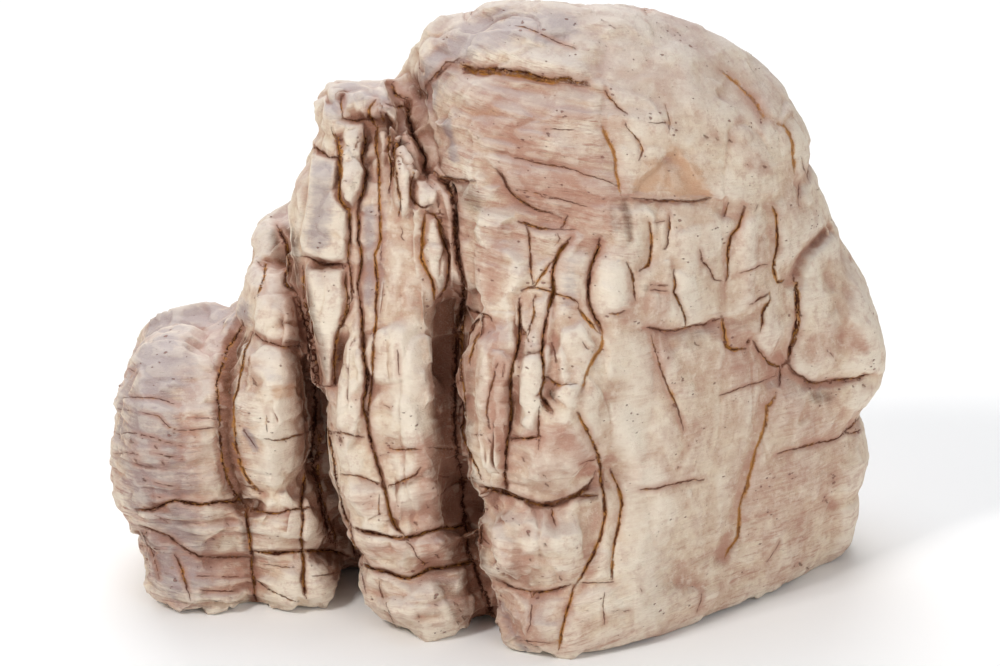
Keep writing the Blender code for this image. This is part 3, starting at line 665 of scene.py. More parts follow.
# %% Lines of the lower right face
FACE_LINES = [
    ("seam", [(652, 336), (658, 355), (664, 375), (670, 392), (677, 408), (681, 420), (684, 430)]),
    ("fold", [(670, 341), (680, 358), (693, 377)]),
    ("hair", [(690, 445), (684, 455), (678, 468)]),
    ("fold", [(655, 345), (660, 365), (665, 385), (672, 405), (680, 422), (685, 430)]),
    ("fold", [(672, 340), (680, 355), (688, 370)]),
    ("fold", [(688, 440), (683, 455), (677, 462)]),
    ("orange", [(776, 393), (772, 403), (768, 406), (767, 418), (764, 430), (760, 440), (756, 450),
                (752, 462), (748, 475), (747, 485), (742, 495), (739, 505), (738, 515), (738, 525),
                (737, 535), (733, 543), (727, 550), (724, 558)]),
    ("hair", [(776, 393), (768, 406), (764, 430), (756, 450), (748, 475), (742, 495), (738, 515),
              (737, 535)]),
    ("seam", [(778, 455), (790, 451), (802, 448), (815, 444), (825, 440), (835, 439), (842, 436),
              (848, 430), (855, 422), (860, 416)]),
    ("hair", [(842, 436), (855, 432), (865, 427)]),
    ("seam", [(640, 490), (655, 488), (665, 485), (680, 482), (695, 480), (706, 479)]),
    ("fold", [(710, 505), (707, 520), (706, 535), (708, 545)]),
    ("hair", [(702, 590), (700, 602), (697, 612)]),
    ("hair", [(765, 565), (775, 550), (780, 540)]),
    ("rusty", [(578, 413), (583, 422), (589, 433), (594, 445), (599, 458), (601, 470), (601, 480),
               (602, 488), (604, 495), (604, 505), (605, 515), (603, 525), (600, 540), (594, 555),
               (588, 565), (582, 578), (578, 583)]),
    ("crack", [(583, 422), (594, 445), (601, 470), (604, 500), (603, 525)]),
    ("rusty", [(610, 469), (613, 476), (617, 485), (620, 495), (621, 505), (620, 515), (618, 527),
               (615, 540), (614, 552), (613, 565), (613, 577)]),
    ("hair", [(578, 583), (590, 583), (602, 582), (614, 581)]),
    ("ledge", [(496, 580), (505, 584), (515, 588), (525, 591), (537, 592), (550, 591), (562, 588),
               (572, 585)]),
    ("rusty", [(576, 586), (574, 593), (571, 602), (567, 612), (564, 622), (561, 635), (559, 648)]),
    ("hair", [(530, 592), (532, 605), (531, 620), (527, 633)]),
    ("dip", [(514, 525), (520, 530), (521, 545), (518, 560), (522, 575), (530, 590)]),
    ("hair", [(480, 535), (488, 543), (494, 545)]),
    ("fold", [(500, 605), (510, 625), (520, 645), (527, 655)]),
    ("hair", [(520, 640), (550, 643)]),
    ("hair", [(606, 590), (604, 605), (604, 625)]),
    ("hair", [(610, 610), (630, 609)]),
    ("hair", [(640, 587), (642, 592)]),
]
print("lines of the lower right face:", len(FACE_LINES))

# %% [markdown]
# Ribs, swells and pits
#
# Between their cracks some parts of the front bulge, and here and there a grain has fallen
# out and left a pit. A rib or a swell is a line that raises the stone instead of cutting it,
# and a pit is a line of one pixel. The same lines serve for all of them, so no second way of
# carving is needed.

# %% Ribs and swells
SWELLS = [
    ("swell", [(612, 272), (616, 300)]), ("swell", [(612, 276), (615, 296)]),
    ("swell", [(490, 350), (486, 465)]), ("rib", [(532, 350), (527, 430)]),
    ("rib", [(562, 312), (558, 380)]), ("swell", [(568, 258), (566, 290)]),
    ("rib", [(470, 50), (520, 58), (580, 70)]), ("rib", [(322, 180), (322, 244)]),
    ("swell", [(324, 285), (330, 360)]), ("rib", [(352, 140), (352, 198)]),
    ("swell", [(405, 335), (408, 435)]), ("rib", [(410, 150), (405, 180)]),
    ("swell", [(690, 240), (688, 310)]), ("rib", [(750, 228), (750, 300)]),
    ("rib", [(655, 300), (672, 310)]), ("swell", [(534, 540), (568, 545)]),
    ("rib", [(492, 528), (500, 565)]), ("swell", [(272, 362), (270, 428)]),
    ("rib", [(270, 455), (275, 500)]), ("rib", [(265, 530), (330, 532)]),
    ("swell", [(350, 500), (374, 508)]), ("swell", [(410, 498), (440, 503)]),
    ("rib", [(372, 552), (445, 552)]), ("swell", [(392, 606), (440, 602)]),
    ("swell", [(775, 330), (765, 340)]), ("swell", [(822, 300), (826, 350)]),
    ("swell", [(620, 420), (640, 470)]), ("rib", [(436, 250), (430, 290)]),
]

# %% Pits
PITS = [(154, 447), (142, 479), (162, 463), (130, 442), (227, 525), (135, 461), (255, 380),
        (256, 384), (416, 521), (426, 505), (438, 556), (437, 606), (419, 617), (340, 440),
        (456, 603), (460, 609), (464, 616), (458, 622), (467, 627), (705, 136), (716, 138),
        (729, 139), (748, 165), (764, 166), (800, 316), (856, 377), (828, 381), (863, 385),
        (673, 406), (800, 564), (807, 569), (827, 500), (846, 548), (523, 458), (528, 533),
        (545, 545), (560, 578), (530, 559), (490, 440), (545, 476), (546, 484)]
PIT_LINES = [("pit", [(x, y), (x + 1, y + 1)]) for x, y in PITS]
FRONT_LINES = LEFT_LINES + PLATE_LINES + DOME_LINES + PILLAR_LINES + BAY_LINES + FACE_LINES
FRONT_LINES += PIT_LINES + SWELLS
print("lines on the front:", len(FRONT_LINES))

# %% [markdown]
# Plates that stand proud
#
# The upright slabs between dome and left block have split off at different depths. Each one
# is an outline on the picture with the height it stands out of the stone. Lines alone would
# leave them level with each other, like tiles.

# %% Outlines of the plates
# Each plate: how far it stands out in millimetres, then its outline on the picture. The
# first one is the ochre facet on the dome, which lies back.
PLATES = [
    (-1.4, [(631, 194), (644, 175), (664, 156), (676, 148), (690, 165), (704, 185), (716, 199),
            (660, 200)]),
    (1.6, [(327, 87), (334, 81), (359, 81), (375, 89), (377, 96), (356, 94), (347, 94), (341, 99),
           (329, 105)]),
    (3.2, [(345, 94), (363, 92), (384, 99), (390, 108), (386, 117), (377, 119), (372, 117),
           (368, 122), (347, 108)]),
    (3.4, [(338, 121), (365, 121), (368, 131), (364, 153), (366, 171), (364, 189), (354, 205),
           (341, 197), (338, 178), (340, 146)]),
    (2.4, [(309, 152), (327, 155), (338, 160), (338, 196), (350, 210), (347, 258), (336, 262),
           (304, 254), (300, 239), (307, 196)]),
    (2.6, [(304, 267), (336, 265), (346, 268), (346, 300), (343, 330), (338, 350), (334, 385),
           (325, 385), (318, 350), (308, 310)]),
    (1.8, [(378, 128), (388, 122), (392, 131), (389, 153), (382, 168), (379, 153)]),
    (3.2, [(407, 128), (416, 140), (422, 164), (425, 174), (413, 181), (411, 210), (402, 219),
           (394, 203), (393, 167), (395, 137)]),
    (2.2, [(415, 181), (427, 178), (440, 189), (437, 203), (427, 214), (414, 206)]),
    (1.8, [(429, 174), (441, 181), (451, 192), (455, 221), (456, 258), (450, 287), (450, 260),
           (446, 224), (438, 196)]),
    (2.0, [(427, 221), (436, 214), (441, 231), (449, 262), (446, 287), (438, 294), (428, 274),
           (424, 249)]),
    (2.0, [(357, 312), (363, 330), (364, 350), (367, 375), (364, 410), (358, 440), (345, 452),
           (336, 420), (336, 385), (346, 345)]),
    (1.6, [(256, 294), (294, 292), (300, 315), (303, 343), (270, 341), (255, 330)]),
    (2.2, [(532, 300), (548, 294), (556, 320), (552, 360), (545, 400), (534, 432), (520, 425),
           (520, 380), (524, 330)]),
    (1.4, [(496, 330), (512, 322), (520, 350), (514, 400), (506, 440), (494, 425), (490, 370)]),
    (1.6, [(562, 330), (582, 322), (596, 345), (590, 375), (575, 400), (560, 390), (556, 355)]),
]
print("plates:", len(PLATES))

# %% [markdown]
# Cracks of the other sides
#
# The photograph doesn't show the back, the ends and the crown, but the same splitting runs
# through the whole stone. A few long uprights follow the solid's own clefts, and the rest
# wander from a random start: uprights that split columns, and short level seams between.

# %% Lines of the other sides
# Each side: its outward way, its two axes, the room for lines in millimetres, its own lines
SIDES = [
    ((0, 1, 0), (0, 2), (-100, 100, 6, 150), [
        ("cleft", [(-32, 0), (-31, 40), (-34, 80), (-30, 120), (-24, 150)]),
        ("cleft", [(11, 0), (9, 44), (12, 90), (8, 132), (2, 158)]),
        ("rusty", [(39, 2), (38, 50), (41, 96), (37, 140), (30, 166)]),
        ("cleft", [(73, 0), (72, 48), (75, 90), (70, 122), (62, 146)]),
        ("crack", [(-8, 46), (-12, 70), (-10, 96), (-15, 118)]),
        ("seam", [(-66, 54), (-50, 51), (-34, 55)]),
        ("seam", [(-34, 36), (-14, 33), (10, 37)]),
        ("ledge", [(38, 90), (56, 87), (74, 91)]),
        ("seam", [(74, 56), (92, 53), (112, 57)]),
        ("ledge", [(66, 150), (40, 160), (10, 156), (-22, 148), (-34, 138)]),
    ]),
    ((1, 0, 0), (1, 2), (-40, 60, 6, 140), [
        ("cleft", [(46, 0), (44, 40), (47, 74), (42, 110), (34, 140)]),
        ("seam", [(56, 52), (30, 44), (4, 47)]),
        ("rusty", [(44, 126), (20, 130), (0, 127)]),
    ]),
    ((-1, 0, 0), (1, 2), (-30, 55, 4, 80), [
        ("crack", [(-36, 17), (-6, 19), (18, 15), (40, 18)]),
        ("crack", [(8, 2), (10, 30), (6, 58), (9, 82)]),
        ("rusty", [(52, 2), (50, 44), (53, 84), (46, 118)]),
    ]),
    ((0, 0, 1), (0, 1), (-90, 90, -20, 50), [
        ("rusty", [(4, 60), (2, 36), (-6, 14), (-10, 0)]),
        ("crack", [(76, 36), (58, 22), (36, 14)]),
        ("hair", [(-118, 10), (-98, 8), (-76, 12)]),
    ]),
]
WANDERERS_PER_SQUARE_MM = 0.0015
UPRIGHT_SHARE = 0.45
LEVEL_TILT = 10
MOST_TURN = 16
STRIDE = (4.0, 8.0)


def wander(draw, room, upright):
    """Return a line that wanders from a random start inside the room."""
    left, right, low, high = room
    spot = np.array((draw.uniform(left, right), draw.uniform(low, high)))
    heading = math.radians(90 if upright else draw.uniform(-LEVEL_TILT, LEVEL_TILT))
    line = [tuple(spot)]
    for _ in range(draw.randint(3, 9 if upright else 5)):
        heading += math.radians(draw.uniform(-MOST_TURN, MOST_TURN))
        stride = draw.uniform(*STRIDE)
        spot = spot + stride * np.array((math.cos(heading), math.sin(heading)))
        line.append(tuple(spot))
    return line


draw = random.Random(4)
for way, axes, room, lines in SIDES:
    left, right, low, high = room
    for _ in range(round((right - left) * (high - low) * WANDERERS_PER_SQUARE_MM)):
        upright = draw.random() < UPRIGHT_SHARE
        kind = draw.choice(["crack", "rusty", "hair"] if upright else ["hair", "seam", "hair"])
        lines.append((kind, wander(draw, room, upright)))
print("lines of the other sides:", [len(lines) for _, _, _, lines in SIDES])

# %% [markdown]
# Carving
#
# A crack in sandstone is a narrow groove with worn shoulders, and often one side stands
# proud of the other. Each point of the skin looks for its nearest line and sinks by a
# groove's profile. On the front it sinks away from the eye, so that a line keeps its place
# on the picture. Boolean cutters would give cleaner walls than weathered stone has.

# %% The nearest line
def line_gaps(spots, line):
    """Return how far each spot is from the line, and on which hand of its walker."""
    nearest = np.full(len(spots), np.inf)
    hand = np.zeros(len(spots))
    for start, end in zip(np.array(line[:-1], float), np.array(line[1:], float)):
        run = end - start
        length = math.hypot(*run)
        offset = spots - start
        share = np.clip(offset @ run / length ** 2, 0.0, 1.0)
        gap = offset - share[:, None] * run
        far = np.hypot(gap[:, 0], gap[:, 1])
        turn = (run[0] * gap[:, 1] - run[1] * gap[:, 0]) / np.maximum(far, 1e-9) / length
        closer = far < nearest
        hand[closer] = turn[closer]
        nearest[closer] = far[closer]
    return nearest, hand


def near_line(spots, ends, reach):
    """Return which spots lie in the box around a line's ends, widened by the reach."""
    within = (spots > ends.min(axis=0) - reach) & (spots < ends.max(axis=0) + reach)
    return np.flatnonzero(np.all(within, axis=1))


# %% What a line does
# The groove: the steeper the slope and the curve, the narrower its bottom
LEAST_HALF_WIDTH = 0.7
GROOVE_SLOPE = 0.8
GROOVE_CURVE = 1.4
SHOULDER_SHARE = 0.22
SHOULDER_WIDTH = 1.5
# The ends of a line are shallower, over a length in millimetres
END_SHARE = 0.45
END_LENGTH = 5.0
# How far a step and a line are felt, in millimetres, and how soft the step's edge is
STEP_REACH = 8.0
LINE_REACH = 18.0
STEP_BLEND = 3.0
# Where the darkness ends and what counts as far from any line, in half widths
DARK_FULL = 1.5
DARK_NONE = 2.4
FAR = 9.0
# Rust reaches a share of the half width and a little more, in millimetres
RUST_SHARE = 0.8
RUST_MORE = 0.25


def line_effects(spots, unit, lines):
    """Return the sink in metres, the gap in half widths, the darkness and the rust."""
    count = len(spots)
    sink, step_back, raised = np.zeros(count), np.zeros(count), np.zeros(count)
    gap_of, dark, rust = np.full(count, FAR), np.zeros(count), np.zeros(count)
    for kind, line in lines:
        width, depth, step, darkness, rustiness = KINDS[kind]
        ends = np.array(line, float)
        reach = (LINE_REACH if step else width * 4.0 + 1.0) * MM / unit.min()
        near = near_line(spots, ends, reach)
        if len(near) == 0:
            continue
        gap, hand = line_gaps(spots[near], line)
        gap_mm = gap * unit[near] / MM
        tip = np.minimum(np.linalg.norm(spots[near] - ends[0], axis=1),
                         np.linalg.norm(spots[near] - ends[-1], axis=1)) * unit[near] / MM
        fade = np.clip(END_SHARE + tip / END_LENGTH, 0.0, 1.0)
        carved = gap_mm / max(width, LEAST_HALF_WIDTH)
        groove = np.clip(1.0 - carved * GROOVE_SLOPE, 0.0, 1.0) ** GROOVE_CURVE
        groove *= 1.0 - SHOULDER_SHARE
        groove += np.exp(-(carved / SHOULDER_WIDTH) ** 2) * SHOULDER_SHARE
        sink[near] = np.maximum(sink[near], depth * MM * groove * fade)
        raised[near] = np.maximum(raised[near], -depth * MM * np.exp(-(gap_mm / width) ** 2))
        past = np.clip(hand * STEP_BLEND, 0.0, 1.0)
        step_back[near] += step * MM * past * fade * np.exp(-gap_mm / STEP_REACH)
        if darkness > 0.0:
            across = gap_mm / width
            closer = across < np.abs(gap_of[near])
            signed = across * np.where(hand < 0.0, -1.0, 1.0)
            gap_of[near] = np.where(closer, signed, gap_of[near])
            darkened = darkness * fade * ramp(-across, -DARK_NONE, -DARK_FULL)
            dark[near] = np.where(closer, darkened, dark[near])
            halo = np.exp(-(gap_mm / (width * RUST_SHARE + RUST_MORE)) ** 2)
            rust[near] = np.maximum(rust[near], rustiness * fade * halo)
    return sink + step_back - raised, gap_of, dark, rust


# %% What a plate does
PLATE_EDGE = 1.5
PLATE_LIP = 0.3


def inside(spots, outline):
    """Tell which spots lie inside a closed outline."""
    within = np.zeros(len(spots), bool)
    for (start_x, start_y), (end_x, end_y) in zip(outline, outline[1:] + outline[:1]):
        crossed = (end_y > spots[:, 1]) != (start_y > spots[:, 1])
        share = (spots[:, 1] - start_y) / ((end_y - start_y) or 1.0)
        within ^= crossed & (spots[:, 0] < start_x + share * (end_x - start_x))
    return within


def standing(spots, unit):
    """Return how far each spot stands out with its plate, in metres."""
    proud = np.zeros(len(spots))
    for height, outline in PLATES:
        near = near_line(spots, np.array(outline, float), PLATE_EDGE * MM / unit.min())
        gap, _ = line_gaps(spots[near], outline + outline[:1])
        within = np.where(inside(spots[near], outline), gap, -gap) * unit[near] / MM
        proud[near] += height * MM * ramp(within, -PLATE_LIP, PLATE_EDGE)
    return proud


# %% Carving the skin
# Behind these two depths the front's lines fade out
FRONT_ENDS = (20.0 * MM, 40.0 * MM)
# How fast a line takes hold as the skin turns towards the eye, or towards its side
FRONT_GAIN = 4.0
FRONT_START = 0.2
SIDE_GAIN = 3.0
SIDE_START = 1.3


def front(points, outward):
    """Return how surely the photograph shows each point, from 0 to 1."""
    facing = -(outward * unit_length(points - eye)).sum(axis=1)
    forward = ramp(-points[:, 1], -FRONT_ENDS[1], -FRONT_ENDS[0])
    return np.clip(facing * FRONT_GAIN - FRONT_START, 0.0, 1.0) * forward


def carving(points, outward):
    """Return the way and depth each point sinks, and its gap, darkness and rust."""
    sight = unit_length(points - eye)
    spots, unit = on_picture(points)
    spots = spots + ragged(points, size=11.0 * MM, strength=1.7, seed=1)[:, :2]
    spots = spots + ragged(points, size=3.0 * MM, strength=0.8, seed=2)[:, :2]
    seen = front(points, outward)
    sink, gap, dark, rust = line_effects(spots, unit, FRONT_LINES)
    inward = unit_length(sight - outward)
    move = inward * ((sink - standing(spots, unit)) * seen)[:, None]
    gap = np.where(seen > 0.0, gap, FAR)
    dark, rust = dark * seen, rust * seen
    wobble = ragged(points, size=13.0 * MM, strength=1.2, seed=3)
    wobble += ragged(points, size=3.5 * MM, strength=0.35, seed=4)
    hidden = 1.0 - seen
    for way, axes, room, lines in SIDES:
        spots = (points / MM + wobble)[:, axes]
        facing = outward @ np.array(way, float)
        turned = np.clip(facing * SIDE_GAIN - SIDE_START, 0.0, 1.0) * hidden
        sink, side_gap, side_dark, side_rust = line_effects(spots, np.full(len(spots), MM), lines)
        move -= outward * (sink * turned)[:, None]
        nearer = (np.abs(side_gap) < np.abs(gap)) & (turned > 0.0)
        gap = np.where(nearer, side_gap, gap)
        dark = np.where(nearer, side_dark * turned, dark)
        rust = np.maximum(rust, side_rust * turned)
    return move, gap, dark, rust


points = vectors(stone.data, "co")
outward = unit_length(smooth(stone.data, vectors(stone.data, "normal"), rounds=4))
move, gap, dark, rust = carving(points, outward)
points = points + move
points[:, 2] = np.maximum(points[:, 2], 0.0)  # the underside stays on the floor
move_points(stone.data, points)
print("deepest cut in mm:", round(np.linalg.norm(move, axis=1).max() / MM, 1))

# %% [markdown]
# Few enough triangles
#
# The even net has far too many squares for plain faces. Collapsing edges where the skin is
# nearly flat keeps the triangles for the cracks, and the stone stays a sensible size.

# %% Thinning the net
MOST_TRIANGLES = 194000

stone.data.calc_loop_triangles()
thin = stone.modifiers.new("thin", "DECIMATE")
thin.ratio = MOST_TRIANGLES / len(stone.data.loop_triangles)
bake_modifiers(stone)
stone.data.shade_smooth()
stone.data.calc_loop_triangles()
print("triangles in the finished skin:", len(stone.data.loop_triangles))

# %% [markdown]
# Washes of colour
#
# Iron, water and dust have coloured some places of the stone on their own: rose and ochre
# patches, and part of the mauve on the left block. Other strokes paint light and shade: the
# dark strokes paint the shade on the walls of the clefts and under ledges, part of the mauve
# paints cool shade on faces that look up and left, and the pale strokes on the columns are
# partly rubbed bare and partly painted highlight. Each wash is a broad soft stroke along a line
# of the picture. Painting vertices by hand would do the same, but strokes in a table can be
# moved and weighed against each other.

# %% Washes of colour
# Each wash: its half width on the picture in pixels, its strength and its line
WASHES = {
    "ochre": [
        (8, 0.9, [(278, 391), (305, 391)]), (5, 0.7, [(267, 262), (267, 298)]),
        (6, 0.5, [(470, 112), (500, 113)]), (5, 0.6, [(555, 97), (590, 102)]),
        (8, 0.5, [(610, 74), (630, 78), (650, 80)]), (4, 0.6, [(550, 480), (556, 480)]),
        (12, 0.9, [(643, 190), (662, 172), (675, 184), (700, 192)]),
        (8, 0.9, [(674, 150), (690, 170), (704, 190)]),
    ],
    "rose": [
        (8, 0.8, [(560, 110), (585, 114)]), (6, 0.7, [(470, 92), (510, 95)]),
        (5, 0.6, [(700, 192), (715, 194)]), (4, 0.8, [(580, 461), (615, 460)]),
        (7, 0.7, [(490, 497), (510, 498)]), (8, 0.7, [(520, 508), (548, 512)]),
        (12, 0.6, [(590, 550), (588, 575)]), (14, 0.6, [(500, 150), (560, 160), (600, 190)]),
        (46, 0.75, [(500, 110), (530, 170), (590, 200)]), (14, 0.5, [(360, 500), (430, 520)]),
        (10, 0.6, [(375, 550), (440, 552)]), (16, 0.4, [(150, 470), (180, 480)]),
        (24, 0.4, [(655, 370), (700, 430)]), (10, 0.6, [(830, 330), (860, 345)]),
        (16, 0.8, [(430, 450), (432, 560)]), (30, 0.5, [(760, 500), (820, 470), (780, 570)]),
        (18, 0.6, [(500, 230), (490, 290)]), (20, 0.5, [(170, 560), (230, 590)]),
        (12, 0.8, [(498, 330), (496, 440)]), (10, 0.8, [(528, 440), (560, 430), (590, 470)]),
        (34, 0.55, [(740, 340), (800, 420), (830, 430)]), (12, 0.7, [(510, 550), (520, 580)]),
    ],
    # Mauve: partly the stone's colour, partly painted cool shade on faces that look up and left
    "mauve": [
        (5, 0.8, [(448, 122), (452, 140), (457, 158)]), (4, 1.0, [(245, 430), (254, 448)]),
        (9, 0.6, [(569, 262), (569, 298)]), (6, 0.6, [(502, 607), (525, 652)]),
        (36, 0.8, [(158, 350), (142, 420), (158, 490), (180, 570)]),
        (16, 0.8, [(150, 320), (235, 312)]), (14, 0.8, [(335, 110), (350, 88), (385, 105)]),
        (16, 0.9, [(425, 95), (440, 60), (470, 40), (500, 25), (560, 30)]),
        (12, 0.8, [(322, 170), (318, 240)]), (8, 0.8, [(370, 210), (368, 300)]),
        (6, 0.5, [(384, 190), (380, 260), (376, 320)]), (8, 0.5, [(318, 170), (318, 230)]),
    ],
    # Painted shade: dark strokes on the walls of the clefts and under ledges, where shade falls
    "painted_shade_wash": [
        (10, 0.8, [(460, 188), (475, 205)]), (5, 0.9, [(625, 200), (629, 238)]),
        (5, 0.6, [(612, 213), (614, 229)]), (7, 0.7, [(816, 398), (827, 400)]),
        (7, 0.5, [(512, 525), (515, 575)]), (3, 0.8, [(641, 286), (648, 288)]),
        (4, 0.7, [(582, 497), (596, 497)]),
        (17, 1.4, [(456, 290), (450, 340), (450, 400), (452, 480)]),
        (15, 1.4, [(462, 490), (470, 560), (480, 620)]),
        (9, 1.6, [(236, 342), (227, 370), (225, 400), (227, 440), (233, 485)]),
        (6, 1.2, [(244, 510), (250, 560), (253, 600)]),
        (11, 1.5, [(284, 236), (298, 290), (310, 335), (315, 380), (315, 430), (314, 470)]),
        (10, 1.2, [(322, 480), (332, 540), (344, 580)]),
        (16, 1.0, [(456, 440), (452, 500), (460, 550)]),
        (9, 0.8, [(446, 585), (464, 615)]), (5, 0.8, [(396, 490), (420, 478), (440, 470)]),
        (7, 0.8, [(324, 430), (330, 500), (340, 550)]),
        (5, 0.6, [(150, 545), (158, 575)]), (4, 0.6, [(150, 505), (190, 525), (200, 545)]),
    ],
    # Pale: partly rubbed bare, partly painted highlight on columns and bulges
    "pale": [
        (14, 0.9, [(612, 275), (615, 300)]), (16, 0.6, [(268, 350), (272, 400), (268, 470)]),
        (18, 0.8, [(410, 335), (408, 420)]), (12, 0.8, [(400, 500), (432, 500)]),
        (10, 0.7, [(395, 465), (405, 465)]), (18, 0.5, [(345, 380), (340, 460)]),
        (24, 0.5, [(700, 260), (690, 300)]), (30, 0.6, [(630, 360), (645, 480), (640, 600)]),
        (26, 0.4, [(600, 60), (620, 70), (690, 90)]),
        (16, 0.5, [(640, 120), (620, 170)]), (14, 0.5, [(535, 350), (530, 460)]),
        (10, 0.5, [(200, 345), (206, 420), (208, 490)]), (18, 0.4, [(600, 600), (640, 570)]),
    ],
}
print("strokes:", {name: len(strokes) for name, strokes in WASHES.items()})

# %% [markdown]
# What the finish needs to know
#
# Rust and dirt follow the cracks, dust and painted cool light lie on faces that look up,
# edges are rubbed pale and painted as highlights, and hollows keep their dirt and painted
# shade. All of it is worked out here once for each point of the mesh and stored under a name,
# so that the colours stick to the stone from every side. A finish that looked at the picture's
# place instead would smear as soon as the stone is turned.

# %% Numbers for the finish
WASH_WOBBLE = 4.0
WASH_FULL = 0.1
WASH_NONE = 1.9


def give(mesh, name, values):
    """Store one number for each point of the mesh, for the finish to read."""
    layer = mesh.attributes.new(name, "FLOAT", "POINT")
    layer.data.foreach_set("value", np.ascontiguousarray(values, dtype=np.float32))


def wash(spots, strokes):
    """Return how strongly the strokes of one colour lie on each spot."""
    amount = np.zeros(len(spots))
    for width, strength, line in strokes:
        gap, _ = line_gaps(spots, line)
        cover = ramp(-gap, -WASH_NONE * width, -WASH_FULL * width)
        amount = np.maximum(amount, strength * cover)
    return amount


points = vectors(stone.data, "co")
outward = vectors(stone.data, "normal")
_, gap, dark, rust = carving(points, outward)
give(stone.data, "crack_gap", gap)
give(stone.data, "crack_far", np.abs(gap))
give(stone.data, "crack_dark", dark)
give(stone.data, "rust", rust)
give(stone.data, "bed", bed_height(points) / MM)
give(stone.data, "bedded", bedding(points, outward))
give(stone.data, "up", outward[:, 2])
for name, rounds in (("edge", 3), ("rise", 36)):
    flat = smooth(stone.data, points, rounds)
    give(stone.data, name, ((points - flat) * outward).sum(axis=1) / MM)
spots, _ = on_picture(points)
spots = spots + ragged(points, size=7.0 * MM, strength=WASH_WOBBLE, seed=6)[:, :2]
seen = front(points, outward)
for name, strokes in WASHES.items():
    give(stone.data, name, wash(spots, strokes) * seen)
print("stored for each point:", stone.data.attributes.keys())

# %% [markdown]
# Hollows
#
# Dirt gathers and shade falls where little of the sky reaches, and the finish darkens such
# places, partly as dirt and partly as painted shade. From every point a few short rays go out
# over the half space above it, and each one that meets the stone counts, near hits more than
# far ones. Blender's ambient occlusion node does this too, but only while rendering, and a
# number stored on the mesh can be read anywhere.

# %% Hollows
RAYS = 14
RAY_LENGTH = 22.0 * MM
LIFT = 0.3 * MM
GOLDEN_ANGLE = 2.39996

shape = BVHTree.FromPolygons([tuple(point) for point in points],
                             [tuple(face.vertices) for face in stone.data.polygons])
spread = []
for number in range(RAYS):
    up = 1.0 - (number + 0.5) / RAYS
    turn = number * GOLDEN_ANGLE
    flat = math.sqrt(1.0 - up * up)
    spread.append((flat * math.cos(turn), flat * math.sin(turn), up))
hollow = np.zeros(len(points))
for index, (point, way) in enumerate(zip(points, outward)):
    facing = Vector(way)
    start = Vector(point) + facing * LIFT
    turned = facing.to_track_quat("Z", "Y")
    for ray in spread:
        aim = turned @ Vector(ray)
        hit = shape.ray_cast(start, aim, RAY_LENGTH)
        if hit[0] is not None:
            hollow[index] += ray[2] * (1.0 - hit[3] / RAY_LENGTH)
hollow /= sum(ray[2] for ray in spread)
hollow = smooth(stone.data, hollow[:, None], rounds=2)[:, 0]
give(stone.data, "hollow", hollow)
print("hollows: mean", round(hollow.mean(), 3), "deepest", round(hollow.max(), 3))

# %% [markdown]
# Arithmetic with sockets
#
# The colours of stone come from many small sums of noises and masks. Written as nodes one
# by one, such a sum is hard to read. One small class lets a socket be added, multiplied and
# divided like a number, and a single method adds every other kind of node.

# %% A socket that can be calculated with
class Wire:
    """One output of a node in the finish that is being made."""

    tree = None

    def __init__(self, socket):
        self.socket = socket

    @classmethod
    def node(cls, kind, settings, sockets, output=0):
        """Add a node: its settings first, then the values or links of its sockets."""
        made = cls.tree.nodes.new(kind)
        for name, value in settings.items():
            setattr(made, name, value)
        for name, value in sockets.items():
            if isinstance(value, Wire):
                cls.tree.links.new(value.socket, made.inputs[name])
            else:
                made.inputs[name].default_value = value
        return cls(made.outputs[output])

    def math(self, operation, *others, first=None):
        """Add a Math node on this value and the others."""
        values = [self, *others] if first is None else [first, self, *others]
        return Wire.node("ShaderNodeMath", {"operation": operation}, dict(enumerate(values)))

    def __add__(self, other):
        return self.math("ADD", other)

    def __sub__(self, other):
        return self.math("SUBTRACT", other)

    def __rsub__(self, other):
        return self.math("SUBTRACT", first=other)

    def __mul__(self, other):
        return self.math("MULTIPLY", other)

    def __truediv__(self, other):
        return self.math("DIVIDE", other)

    def __rtruediv__(self, other):
        return self.math("DIVIDE", first=other)

    def __abs__(self):
        return self.math("ABSOLUTE")

    __radd__ = __add__
    __rmul__ = __mul__

    def between(self, low, high):
        """Return 0 at low, 1 at high, and a soft slope between."""
        settings = {"interpolation_type": "SMOOTHSTEP"}
        return Wire.node("ShaderNodeMapRange", settings, {0: self, 1: low, 2: high, 3: 0.0, 4: 1.0})


def stored(name):
    """Return a number that was stored for each point."""
    return Wire.node("ShaderNodeAttribute", {"attribute_name": name}, {}, output=2)


def mixed(share, first, second):
    """Return a colour that goes from the first to the second."""
    settings = {"data_type": "RGBA", "clamp_factor": True}
    return Wire.node("ShaderNodeMix", settings, {0: share, 6: first, 7: second}, output=2)


def cloud(place, size, detail=3.0, roughness=0.55):
    """Return a soft noise, about 0.5 in the middle, with lumps of the given size."""
    sockets = {"Vector": place, "Scale": 1.0 / size, "Detail": detail, "Roughness": roughness}
    return Wire.node("ShaderNodeTexNoise", {}, sockets)


def stretched(place, across, along, upward):
    """Return a place squeezed so that noise on it is as large as given on each axis."""
    sizes = (1.0 / across, 1.0 / along, 1.0 / upward)
    return Wire.node("ShaderNodeVectorMath", {"operation": "MULTIPLY"}, {0: place, 1: sizes})


def in_beds(place, bed):
    """Return the place with its height in the pile of beds in the place of its height."""
    parts = [Wire.node("ShaderNodeSeparateXYZ", {}, {0: place}, output=axis) for axis in (0, 1)]
    return Wire.node("ShaderNodeCombineXYZ", {}, {0: parts[0], 1: parts[1], 2: bed})


# %% [markdown]
# The colours of the stone
#
# Fresh sandstone here is cream. Iron between the beds stains it rose and ochre in thin level
# streaks, water leaves orange rust in the cracks, and old dirt makes their cores nearly
# black. Faces that look up are greyer and cooler, partly with dust and partly as painted cool
# light from above. Some colours also paint light and shade: chalk paints highlights, rose and
# the dark browns paint shade in low places, hollows and clefts. Each colour has a name, so
# that a layer of the finish can be read as one sentence, where a ramp would hide it in a stop.

# %% Palette
def colour(red, green, blue):
    """Return a colour without transparency."""
    return (red, green, blue, 1.0)


